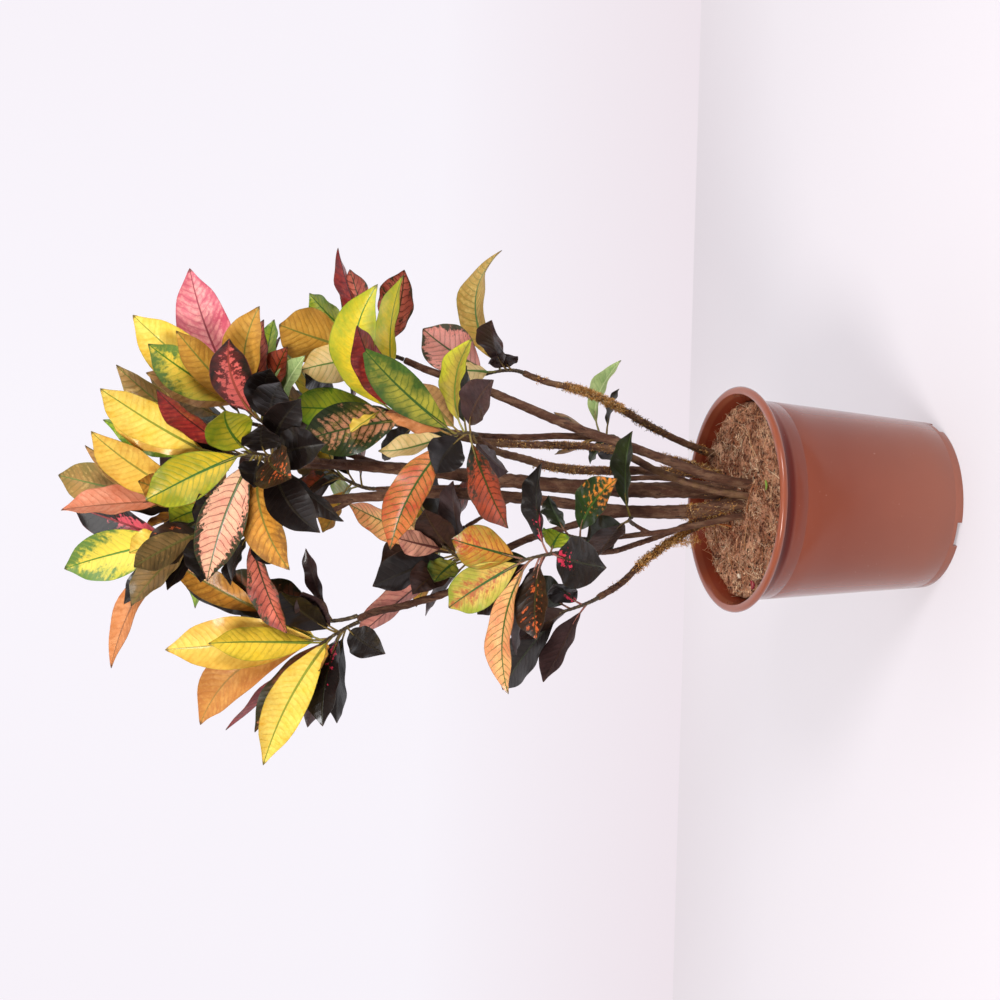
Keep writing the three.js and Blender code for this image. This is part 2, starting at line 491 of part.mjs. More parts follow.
// Four-sided rings: left edge, upper face, right edge, lower face
function leafRings(leaf, edge = 0, thick = 0) {
  const stalk = Math.min(STALK_LENGTH / leaf.length, STALK_SHARE);
  const stations = [
    [STALK_SINK / leaf.length, STALK_RADIUS, STALK_RADIUS],
    [stalk, STALK_RADIUS * STALK_END_WIDTH, STALK_RADIUS * STALK_END_THICKNESS],
  ];
  for (const share of BLADE_STATIONS) {
    stations.push([stalk + (1 - stalk) * share, bladeHalfWidth(leaf.width, share), BLADE_HALF_THICKNESS]);
  }
  return stations.map(([at, half, rise]) => {
    const centre = leaf.curve.getPoint(at);
    const along = leaf.curve.getTangent(at);
    const up = leaf.up.clone().addScaledVector(along, -leaf.up.dot(along)).normalize();
    const side = along.clone().cross(up);
    const lift = half * BLADE_FOLD;
    return [
      centre.clone().addScaledVector(side, -half - edge).addScaledVector(up, lift),
      centre.clone().addScaledVector(up, rise + thick),
      centre.clone().addScaledVector(side, half + edge).addScaledVector(up, lift),
      centre.clone().addScaledVector(up, -rise - thick),
    ];
  });
}

// Triangles of a skin, each with its own box, for the test of what crosses what
function skin(geometry) {
  const position = geometry.attributes.position;
  const corners = [];
  for (let i = 0; i < geometry.index.count; i++) {
    corners.push(vec().fromBufferAttribute(position, geometry.index.getX(i)));
  }
  const triangles = [];
  for (let i = 0; i < corners.length; i += 3) {
    const triple = corners.slice(i, i + 3);
    triangles.push({ triple, box: new THREE.Box3().setFromPoints(triple) });
  }
  return { triangles, box: new THREE.Box3().setFromPoints(corners) };
}

function edgeCuts(from, to, triple) {
  const reach = to.clone().sub(from);
  const length = reach.length();
  const ray = new THREE.Ray(from, reach.divideScalar(length));
  const hit = ray.intersectTriangle(...triple, false, vec());
  return hit !== null && hit.distanceTo(from) <= length;
}

function trianglesCross(one, two) {
  if (!one.box.intersectsBox(two.box)) return false;
  for (let i = 0; i < 3; i++) {
    if (edgeCuts(one.triple[i], one.triple[(i + 1) % 3], two.triple)) return true;
    if (edgeCuts(two.triple[i], two.triple[(i + 1) % 3], one.triple)) return true;
  }
  return false;
}

function skinsCross(one, two) {
  if (!one.box.intersectsBox(two.box)) return false;
  const near = two.triangles.filter((item) => item.box.intersectsBox(one.box));
  return one.triangles.some((item) => near.some((other) => trianglesCross(item, other)));
}

function backRows(head) {
  const rows = [];
  for (let k = 0; k < head.leaves; k++) {
    const level = k / (head.leaves - 1);
    const bearing = radians(90 + BACK_SPREAD * ((k * GOLDEN_SHARE) % 1 - 0.5));
    const rise = radians(THREE.MathUtils.lerp(BACK_LOWEST_RISE, BACK_HIGHEST_RISE, level));
    const reach = head.reach * (1 - BACK_TAPER * level * level);
    rows.push([
      reach * Math.cos(rise) * Math.cos(bearing),
      reach * Math.cos(rise) * Math.sin(bearing),
      reach * Math.sin(rise),
      BACK_LEAF_WIDTH,
      BACK_TURN_STEP * (k % 3 - 1),
      BACK_ARCH,
    ]);
  }
  return rows;
}

// All heads, with the two shoots that share one woody end set side by side
function allHeads() {
  const heads = HEADS.concat(BACK_HEADS.map((head) => ({ ...head, leaves: backRows(head) })));
  const uses = {};
  for (const head of heads) (uses[head.on] ??= []).push(head);
  return heads.map((head) => {
    const twins = uses[head.on];
    const place = (twins.indexOf(head) - (twins.length - 1) / 2) * TWIN_SHOOT_SPACING;
    return { ...head, grown: [], shoot: shootOf(head, place) };
  });
}

// Every place that a leaf is tried in, the one that it aims at first
function leafPlaces(root, aim) {
  const places = [];
  for (const scale of CLEAR_SCALES) {
    for (const aside of CLEAR_ASIDE) {
      for (const step of CLEAR_STEPS) {
        const tip = aim.clone().add(vec(aside, step, -SIGHT_DROP * step)).sub(root);
        places.push(tip.multiplyScalar(scale).add(root));
      }
    }
  }
  return places;
}

// Settles every leaf clear of the wood, the shoots and the leaves that are already there,
// the front heads before the back ones and the broad leaves before the narrow ones
function growLeaves(heads) {
  const wood = STEMS.flatMap((stem) => [stem.path, ...Object.values(stem.branches)])
    .map((rows) => skin(stemTube(rows, WOOD_ROOM)));
  const shoots = heads.map((head) => ({ head, whole: skin(shootTube(head.shoot, WOOD_ROOM)) }));
  const jobs = heads.flatMap((head) => head.leaves.map((row, k) => ({ head, row, k })));
  const rank = (job) => (job.head.reach ? 0 : 1000) + job.row[3];
  jobs.sort((one, two) => rank(two) - rank(one));
  const settled = [];
  for (const { head, row, k } of jobs) {
    const share = SHOOT_LEAFY_FROM + (1 - SHOOT_LEAFY_FROM) * (k + 0.5) / head.leaves.length;
    const root = head.shoot.curve.getPoint(share);
    const aim = vec(...head.top).add(vec(row[0], row[1], row[2]));
    for (const tip of leafPlaces(root, aim)) {
      const leaf = leafLine(root, tip, row);
      const wide = leafRings(leaf, ROOM_EDGE, ROOM_RISE);
      const whole = skin(loft(wide.slice(1), tip));
      const blade = skin(loft(leafRings(leaf, 0, CLOSE_RISE).slice(2), tip));
      const blocked = wood.some((other) => skinsCross(whole, other))
        || shoots.some((other) => other.head !== head && skinsCross(whole, other.whole))
        || settled.some((other) => (other.head === head
          ? skinsCross(blade, other.blade) : skinsCross(whole, other.whole)));
      if (blocked) continue;
      settled.push({ head, whole, blade });
      head.grown.push(leaf);
      break;
    }
  }
}

function headSolid(head) {
  const pieces = [toSolid(shootTube(head.shoot))];
  for (const leaf of head.grown) pieces.push(toSolid(loft(leafRings(leaf), leaf.curve.v2)));
  return wasm.Manifold.union(pieces);
}

const plant = new THREE.Group();
plant.add(part("pot", potSolid(), ...POT_FINISH));
plant.add(part("soil", soilSolid(), ...SOIL_FINISH));
for (const stem of STEMS) {
  plant.add(part(`stem_${stem.name}`, stemSolid(stem), stem.colour, BARK_ROUGHNESS));
}
const heads = allHeads();
growLeaves(heads);
heads.forEach((head, k) => {
  const colour = LEAF_COLOURS[k % LEAF_COLOURS.length];
  plant.add(part(`head_${head.name}`, headSolid(head), colour, LEAF_ROUGHNESS));
});

export default plant;
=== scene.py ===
"""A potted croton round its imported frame: pot, soil, mossy wood and heads of patterned leaves."""
import logging
import math
import random
from dataclasses import dataclass, field
from enum import Enum

import bpy
import numpy as np
from mathutils import Matrix, Vector, kdtree, noise


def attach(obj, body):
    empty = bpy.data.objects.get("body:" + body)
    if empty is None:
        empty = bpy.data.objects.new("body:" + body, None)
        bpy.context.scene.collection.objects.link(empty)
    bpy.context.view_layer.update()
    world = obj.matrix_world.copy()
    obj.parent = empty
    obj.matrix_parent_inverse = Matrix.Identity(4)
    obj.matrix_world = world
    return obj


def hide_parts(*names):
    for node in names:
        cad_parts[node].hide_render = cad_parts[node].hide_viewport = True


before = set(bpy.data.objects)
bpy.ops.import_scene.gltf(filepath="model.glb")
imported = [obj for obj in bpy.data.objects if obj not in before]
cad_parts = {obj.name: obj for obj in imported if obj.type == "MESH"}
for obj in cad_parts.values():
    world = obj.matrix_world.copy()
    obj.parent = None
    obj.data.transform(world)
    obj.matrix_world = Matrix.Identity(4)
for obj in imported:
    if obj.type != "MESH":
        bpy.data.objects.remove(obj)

LOG = logging.getLogger("croton")
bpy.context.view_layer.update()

# Tables are in millimetres, as in the part's source, and everything that is built is in metres
MM = 0.001
GAP = 0.3 * MM

# Added to a length, so that a division by it can't fail
TINY = 1e-12

# Camera of the photograph, which shows the plant lying on its side: the camera is rolled by a
# quarter turn, and the plant leans a little in the picture besides
CAMERA_PLACE = Vector((-8.8, -2900, 1600)) * MM
CAMERA_PITCH = math.radians(19.9)
CAMERA_LEAN = math.radians(1.65)
CAMERA_LENS = 96.12
CAMERA_SENSOR = 36.0

# Pot, as in the part's source
POT_HEIGHT = 255
POT_BASE_RADIUS = 101
POT_SHOULDER_RADIUS = 120
POT_SHOULDER_HEIGHT = 229
POT_LIP_RADIUS = 135
POT_LIP_THICKNESS = 8
POT_MOUTH_RADIUS = 125
POT_WALL = 2.4
POT_FLOOR_HEIGHT = 8
POT_FOOT_WIDTH = 5.5
NOTCH_COUNT = 4
NOTCH_WIDTH = 30
NOTCH_HEIGHT = 6.5
NOTCH_TURN = -20
DRAIN_COUNT = 8
DRAIN_RADIUS = 6
DRAIN_CIRCLE = 78

# Steps round the pot, its two moulded lines and the heights that its side is drawn through
POT_STEPS = 144
FOOT_LINE_HEIGHT = 11
SHOULDER_LINE_HEIGHT = 214
LINE_DEPTH = 0.25
LINE_WIDTH = 1.8
SIDE_HEIGHTS = (40, 80, 120, 160, 190)

# The foot's outer edge, each (in, up), and the rim's flare, each (out, up) from the shoulder
FOOT_EDGE = ((1, 0), (0.3, 0.3), (0, 1.2))
RIM_FLARE = ((-0.3, -3), (0, 0), (0.8, 4), (2.2, 9), (4.2, 13), (6, 15))

# The rolled lip, each (in from its widest, up from its middle), and the mouth's inside, each
# (in from the mouth's edge, down from the top)
LIP_ROLL = ((3.5, -4), (1.6, -3.5), (0.4, -2), (0, 0), (0.4, 2), (1.8, 3.4), (3.6, 4))
MOUTH_SLOPE = ((-3, 0), (-1.2, 0.6), (0, 3), (0.9, 7), (2.4, 11), (5.6, 18))

# Heights where the pot's colour changes, in metres, and where its painted shade under the lip and its
# painted lip highlight start
BAND_FOOT = (SHOULDER_LINE_HEIGHT + 0.5) * MM
FLARE_FOOT = (POT_SHOULDER_HEIGHT + 2) * MM
LIP_FOOT = (POT_HEIGHT - POT_LIP_THICKNESS) * MM

# Soil, as in the part's source
SOIL_LEVEL = 240
SOIL_HEAP = 7
SOIL_HEAP_SPREAD = 60
SOIL_HEAP_CENTRE = (8, 45)
SOIL_RADIUS = 117.3

# Wood and shoots, as in the part's source
STEM_SOCKET_DEPTH = 60
WOOD_SIDES = 16
SHOOT_BASE_RADIUS = 3
SHOOT_TIP_RADIUS = 2
SHOOT_BEND = 0.4
SHOOT_LEAFY_FROM = 0.3
TWIN_SHOOT_SPACING = 7.5

# Leaves, as in the part's source
STALK_LENGTH = 14
STALK_SHARE = 0.2
BLADE_FOLD = 0.15
SIGHT_DROP = 0.36
CLEAR_STEPS = (0, 9, -9, 18, -18, 27, -27, 36, -36, 45, -45, 54, -54, 63, -63, 72, -72)
CLEAR_ASIDE = (0, 10, -10)
CLEAR_SCALES = (1, 0.88, 0.76)

# How near one of the part's vertices has to be to a tip that a leaf may have
TIP_MATCH = 0.5 * MM

# What each vertex of a leaf carries for the leaf's material
LEAF_COLOURS = ("leaf_main", "leaf_wash", "leaf_patch", "leaf_vein", "leaf_rib")
LEAF_ATTRIBUTES = ("leaf_place", "leaf_share", "leaf_wash_style", "leaf_patch_style",
                   "leaf_vein_style", *LEAF_COLOURS)

# Shoots and stalks. The bud at a shoot's tip has (how far ahead, radius), and a stalk runs on
# under its blade as a rib, with a radius and a depth at its root, at the blade and at its end.
SHOOT_COLOUR = "3d2e20"
STALK_COLOUR = "a8883a"
PINK_STALK = "c4726a"
PINK_STALKED = ("left_front", "left_low", "low_centre")
SHOOT_SLIMNESS = 0.8
SHOOT_KNOT = 0.3
SHOOT_RINGS = 22
BUD = ((4, 1.2), (9, 0.15))
STALK_REACH = 0.16
STALK_RINGS = 9
STALK_SIDES = 7
STALK_RADII = (1.35, 1.1, 0.35)
STALK_DEPTHS = (0, 0, 0.55)


class Cover(Enum):
    """What grows on a stem."""

    BARK = "bark"
    MOSS = "moss"


def srgb(code: str) -> tuple[float, float, float]:
    """Turns a web colour into linear light.

    Args:
        code: six hexadecimal digits.

    Returns:
        Red, green and blue in linear light.
    """
    parts = [int(code[k:k + 2], 16) / 255 for k in (0, 2, 4)]
    return tuple(p / 12.92 if p <= 0.04045 else ((p + 0.055) / 1.055) ** 2.4 for p in parts)


@dataclass(frozen=True)
class Tint:
    """Colours and pattern of one kind of leaf.

    Attributes:
        colours: web colours of the ground, the wash that it fades into, the blotches, the side
            veins with their net, and the midrib.
        gloss: roughness of the face.
        halo: how strongly the vein colour spreads beside the veins, 0 to 1.
        lines: how strongly the side veins and the net are drawn, 0 to 1.
        washed: how much of the blade the wash covers, 0 to 1.
        spread: above 0 it lies at the margin and the tip, below 0 at the midrib and the base.
        patches: how much of the blade the blotches cover, 0 to 1.
        soft: how soft the blotches' edges are.
        margin: how much more blotch there is towards the margin, or below 0 towards the midrib.
        tip: how much more blotch there is towards the tip, or below 0 towards the base.
    """

    colours: str
    gloss: float
    halo: float
    lines: float
    washed: float
    spread: float
    patches: float = 0.2
    soft: float = 0.2
    margin: float = 0.0
    tip: float = 0.0


TINTS = {
    "yellow": Tint("eabf36 d89d2a f4da6c cf9c26 8d9631", 0.3, 0.08, 0.2, 0.3, 0.7, 0.3, 0.4, -0.3),
    "golden": Tint("e2b040 cc8a2e efca5e bd862c 98903a", 0.33, 0.08, 0.2, 0.3, 0.7, 0.3, 0.4, -0.3),
    "sunlime": Tint("d8bc28 aeab28 93a02a b09f24 4a7a28", 0.33, 0.3, 0.4, 0.36, 1.0, 0.17, 0.3, 0.3, 0.2),
    "lemon": Tint("d6ae20 9c881a e8c23c 94841f 647a20", 0.33, 0.3, 0.3, 0.35, 0.6, 0.25, 0.4, -0.3),
    "yellowgreen": Tint(
        "c8a41a 7c7c18 97981f 78821a 28560f", 0.38, 0.85, 0.75, 0.4, 0.9, 0.15, 0.1, 0.4, 0.2),
    "limeyellow": Tint(
        "b4a022 7c861a 96941f 66761a 386012", 0.32, 0.7, 0.6, 0.42, 0.8, 0.15, 0.1, 0.4, 0.1),
    "greenyellow": Tint(
        "edc94a c0b83e 5f7c3a 949a32 45781f", 0.32, 0.3, 0.36, 0.35, 0.9, 0.24, 0.14, 0.5, 0.9),
    "yellowred": Tint(
        "e2bc5e 98a038 b2603a 8a7230 2b5c2c", 0.33, 0.35, 0.55, 0.36, 0.9, 0.16, 0.16, -0.7, 0.2),
    "redgold": Tint("cf9238 7e7e2a b44c26 a0421c 1f4d1a", 0.36, 0.6, 0.8, 0.36, 0.9, 0.22, 0.14, -0.2, 0.3),
    "lime": Tint("b0b52c 7c9c2a 61881f 567e20 386a1a", 0.32, 0.6, 0.5, 0.35, 0.6, 0.2, 0.1, 0.5, 0.2),
    "greenlime": Tint(
        "a39a34 3a5220 4a6422 38561a 28501a", 0.33, 0.55, 0.6, 0.46, 1.1, 0.2, 0.14, 0.2, 0.6),
    "palegreen": Tint("8fa866 b0c080 7f9c58 5a783c c3d092", 0.42, 0.2, 0.4, 0.4, 0.5),
    "olive": Tint("8a6a3e 5c4a2a 96733f 46401f 6a6432", 0.42, 0.35, 0.5, 0.4, 0.6, 0.2, 0.15),
    "oliveyellow": Tint(
        "a89038 bcb82e 8e7a2e 69682a 5e7a2c", 0.42, 0.35, 0.45, 0.42, 1.4, 0.15, 0.2, -0.3, -0.3),
    "ochre": Tint("c28c32 a4722a ca9c42 79581f 75742c", 0.45, 0.3, 0.36, 0.35, 0.7, 0.2, 0.2, -0.2),
    "ochreline": Tint("c49e4a ad8138 d8b866 7c7a30 547a34", 0.42, 0.3, 0.75, 0.35, 0.7, 0.2, 0.2, -0.2),
    "tan": Tint("c4945a a37444 cda35e 6f5228 807036", 0.45, 0.25, 0.38, 0.35, 0.6),
    "tanolive": Tint("a47a44 806a36 bf9c5c 62602c 60702e", 0.42, 0.35, 0.45, 0.4, 0.6, 0.2, 0.15),
    "orangetan": Tint("ba7c38 a6622e ca924a 9e6a36 98743a", 0.45, 0.1, 0.2, 0.35, 0.6, 0.2, 0.25, -0.2),
    "orange": Tint("cc8830 8a5a22 d9a040 6f4c1c 76702a", 0.4, 0.4, 0.42, 0.4, 0.6),
    "peach": Tint("c27a46 a8622f cd8c5c a06440 8c5c3a", 0.42, 0.15, 0.22, 0.35, 0.6, 0.2, 0.25),
    "peachorange": Tint("ebb774 d98658 ca5c40 5e5c24 2f561c", 0.36, 0.45, 0.85, 0.5, 0.5, 0.14, 0.15, 0.2),
    "ember": Tint("d88a4a b8492e a8702c 3f4a1a 24501a", 0.36, 0.5, 0.9, 0.5, 0.5, 0.2, 0.15, 0.2),
    "peachpink": Tint(
        "ecc09a e0957c 27301c 7c3c30 3c5222", 0.36, 0.35, 0.8, 0.5, 0.4, 0.15, 0.06, 0.9, 0.6),
    "salmon": Tint("d98664 c46a4a e29e7e b4644a a4664a", 0.4, 0.15, 0.22, 0.35, 0.6, 0.2, 0.3),
    "coral": Tint("d8745c 8a3428 2c331a 541f18 34300f", 0.36, 0.45, 0.9, 0.35, 0.8, 0.28, 0.08, 0.4),
    "redorange": Tint(
        "a4452a 6c2c1c 22271a 40200f 283812", 0.36, 0.5, 0.85, 0.4, 0.8, 0.26, 0.1, 0.2, -0.7),
    "crimson": Tint("a3302a 641c1c b94a36 4c1218 3c1416", 0.3, 0.35, 0.45, 0.45, 0.6, 0.15),
    "rose": Tint("dc7f86 b84a5e e8a49c a44252 8c3a44", 0.33, 0.4, 0.4, 0.4, 0.7, 0.25, 0.2, -0.2),
    "pink": Tint("eaa88c bc7468 e4a888 6c342e 5e2c28", 0.4, 0.35, 0.55, 0.4, 0.7),
    "pinkdark": Tint(
        "28201c 8c3a38 e06a62 1c1715 a04a3c", 0.3, 0.1, 0.4, 0.4, -1.0, 0.38, 0.05, -0.6, -0.6),
    "rosebrown": Tint("e69484 b46e60 d89c84 6e3a34 66443c", 0.42, 0.3, 0.35, 0.35, 0.6),
    "dustypink": Tint(
        "ffb8aa f09888 4c4c3c 6c4a38 4c6238", 0.38, 0.35, 0.45, 0.45, 0.4, 0.12, 0.08, 0.7, 0.6),
    "cream": Tint("f2d498 deb86c f0d8a4 7c8a3c 4f7a30", 0.42, 0.25, 0.38, 0.35, 0.5, 0.15),
    "dark": Tint("160f0d 1d1411 0f0b0a 0c0a09 241e15", 0.3, 0.2, 0.3, 0.4, 0.4),
    "darkgreen": Tint("2a3414 1c1a12 28331a 10160a 3c4e1e", 0.3, 0.2, 0.4, 0.4, 0.6, 0.2, 0.15),
    "darkgrey": Tint("2a2423 1c1615 332c28 151111 35382a", 0.3, 0.2, 0.35, 0.4, 0.4),
    "darkdots": Tint(
        "1b1817 231c1a c8304a 110e0e 2a2a1c", 0.22, 0.15, 0.35, 0.4, 0.3, 0.05, 0.02, -0.5, -0.9),
    "darkorange": Tint(
        "281c12 39200f c75a2a 16100c 3c3416", 0.32, 0.2, 0.6, 0.4, 0.4, 0.26, 0.06, -0.2, 0.2),
    "darkgreenorange": Tint(
        "2b4216 1b2211 dc8230 15200c 3f5c20", 0.32, 0.2, 0.5, 0.4, 0.4, 0.24, 0.1, -0.1, 0.6),
    "darkgreenpeach": Tint(
        "8c8238 2e3a18 cf8f68 1c260c 2c4a18", 0.33, 0.9, 0.95, 0.75, 1.3, 0.34, 0.12, -0.5, -0.4),
    "darkpeach": Tint(
        "94543a 2f2a16 d08a5a 20240f 2c3c16", 0.32, 0.5, 0.8, 0.5, 1.2, 0.2, 0.08, -0.2, -0.2),
    "darkpink": Tint(
        "1d1918 27201e dc5c68 141111 8a3a3c", 0.22, 0.1, 0.35, 0.4, 0.3, 0.22, 0.05, -0.6, -1.3),
    "maroon": Tint("3f2a20 452d27 251815 1e1210 44301f", 0.36, 0.2, 0.35, 0.4, 0.4),
    "purple": Tint("3a2929 4c3534 2f2020 1e1413 452f27", 0.34, 0.2, 0.35, 0.4, 0.4),
}
BACK_TINTS = ("darkgreen", "greenyellow", "maroon", "olive", "redorange", "lime", "dark", "ochre")

# The face of a leaf that the photograph doesn't show: bright leaves are duller there, and dark
# leaves are wine red underneath
HIDDEN_BRIGHT = srgb("b07a34")
HIDDEN_DARK = srgb("43201d")
HIDDEN_SHARE = 0.5
DARK_LEAF_LIGHT = 0.05

# Stems and their branches: each point (right, back, up, radius), as in the part's source
STEMS = {
    "outer_left": {"main": (
        (-22, 60, 248, 5.8), (-40, 50, 290, 5.2), (-53, 34, 320, 4.7), (-78, 0, 370, 4.7),
        (-101, -26, 406, 4.7), (-118, -50, 445, 4.7),
    )},
    "left_front": {"main": (
        (-17, 40, 249, 4.7), (-32, 30, 299, 4.4), (-46, 12, 343, 4.2), (-57, -15, 388, 4.2),
        (-64, -56, 430, 4.2), (-65, -86, 471, 4.2), (-66, -102, 510, 4.1),
    )},
    "left_inner": {"main": (
        (-20, -6, 248, 5.2), (-27, -8, 282, 4.7), (-34, -10, 317, 4.4), (-40, -12, 345, 4.1),
        (-46, -15, 392, 4), (-50, -20, 430, 4), (-51, -32, 447, 4),
    ), "front": (
        (-43, -13, 365, 3.6), (-38, -20, 380, 3.4), (-33, -26, 392, 3.2),
    )},
    "thick_left": {"main": (
        (-4, -1, 248, 8.6), (-15, 6, 300, 9.3), (-18, 6, 372, 8.1), (-15, 4, 424, 7.3),
        (-10, 4, 474, 7.3), (-5, 4, 537, 7.6), (-3, 6, 585, 7.6), (-3, 8, 633, 7),
        (-7, 10, 680, 7), (-11, 12, 721, 6.4), (-14, 16, 750, 5.8), (-19, 22, 783, 5.8),
        (-21, 28, 819, 5.2), (-21, 34, 848, 4.7),
    ), "low": (
        (-18, 6, 372, 5.8), (-25, 0, 425, 5.2), (-35, -6, 459, 5.2), (-52, -10, 516, 5.2),
        (-71, -8, 554, 5.2), (-92, -4, 581, 5.2), (-111, 2, 599, 5.2), (-122, 6, 624, 5.2),
        (-128, 8, 644, 5.2), (-134, 8, 665, 5.2), (-140, 6, 695, 5.2), (-148, 0, 717, 4.9),
    ), "mid": (
        (-71, -8, 554, 4.1), (-77, 0, 568, 3.8), (-79, 4, 572, 3.5),
    ), "top": (
        (-11, 12, 721, 4.1), (-23, 4, 743, 3.8), (-32, -4, 769, 3.5), (-38, -14, 804, 3.5),
        (-41, -20, 833, 3.2),
    ), "crown": (
        (-19, 22, 783, 4.1), (-30, 18, 817, 3.8), (-38, 13, 843, 3.5), (-42, 10, 861, 3.2),
    ), "back": (
        (-14, 16, 750, 4.1), (-17, 40, 776, 3.8), (-24, 66, 806, 3.5), (-28, 84, 832, 3.2),
    )},
    "thick_centre": {"main": (
        (9, 20, 248, 11), (10, 18, 303, 10.5), (8, 16, 356, 9.9), (8, 12, 421, 9.3),
        (10, 8, 473, 9.3), (15, 4, 550, 8.7), (22, -2, 637, 8.1), (24, -8, 687, 7.6),
        (26, -10, 735, 7), (26, -14, 794, 6.4), (27, -18, 824, 5.2), (29, -20, 838, 4.7),
    ), "front": (
        (26, -10, 735, 4.7), (28, -34, 771, 4.4), (29, -54, 800, 4.1), (30, -68, 821, 3.5),
    ), "right": (
        (24, -8, 687, 4.7), (37, -2, 731, 4.4), (49, 2, 773, 4.1), (58, 5, 805, 3.5),
    ), "back": (
        (37, -2, 731, 4.1), (48, 24, 762, 3.8), (60, 52, 792, 3.5), (68, 72, 818, 3.2),
    )},
    "behind": {"main": (
        (18, 96, 250, 4.7), (23, 92, 296, 4.2), (23, 86, 337, 4), (18, 86, 388, 4),
        (12, 86, 464, 3.8), (7, 86, 538, 3.8), (3, 88, 613, 3.6), (0, 88, 674, 3.5),
    ), "left": (
        (12, 86, 464, 3.5), (-6, 92, 500, 3.4), (-28, 98, 534, 3.3), (-42, 102, 556, 3.2),
    )},
    "mossy_left": {"main": (
        (29, 54, 248, 7), (31, 44, 305, 6.4), (31, 32, 363, 6.1), (29, 14, 421, 5.8),
        (29, 0, 458, 5.8), (32, -18, 499, 5.8), (39, -38, 536, 5.5), (45, -60, 574, 5.2),
        (53, -84, 602, 4.7), (62, -100, 616, 4.1),
    )},
    "mossy_right": {"main": (
        (5, -17, 250, 5.4), (12, -13, 297, 5.6), (21, -9, 329, 5.6), (32, -3, 359, 5.6),
        (44, 5, 381, 5.5), (53, 12, 403, 5.4), (57, 17, 430, 5.2), (57, 14, 484, 5.2),
        (56, 0, 540, 5.2), (58, -16, 582, 5.2), (63, -36, 620, 4.7), (71, -56, 653, 4.1),
    )},
    "back_right": {"main": (
        (36, 92, 250, 5.8), (48, 90, 306, 5.2), (63, 86, 367, 5.2), (69, 84, 407, 4.9),
        (70, 84, 446, 4.9), (67, 82, 485, 4.9), (66, 80, 530, 4.7), (68, 80, 568, 4.7),
        (71, 84, 610, 4.7), (77, 86, 651, 4.1), (80, 90, 693, 4.1),
    ), "low": (
        (63, 86, 367, 3.5), (69, 76, 374, 3.2), (71, 66, 383, 2.9),
    )},
    "leaning": {"main": (
        (19, -24, 249, 6.8), (24, -27, 287, 6.8), (34, -30, 325, 6.7), (48, -33, 372, 6.4),
        (61, -36, 417, 6.4), (75, -36, 468, 6.4), (90, -32, 510, 6.4), (106, -26, 551, 6.1),
        (119, -20, 586, 5.8), (129, -12, 620, 5.8), (138, -4, 647, 5.2), (148, 4, 670, 4.7),
    )},
    "outer_right": {"main": (
        (56, 84, 246, 5.8), (70, 68, 299, 5.2), (88, 48, 351, 5.2), (104, 32, 391, 5.2),
        (116, 20, 425, 4.9), (124, 12, 456, 4.9), (129, 4, 491, 4.7), (134, -1, 512, 4.7),
        (139, -5, 528, 4.4),
    )},
}

# Stems that moss grows on
MOSSY_STEMS = ("outer_left", "mossy_left", "mossy_right", "outer_right")

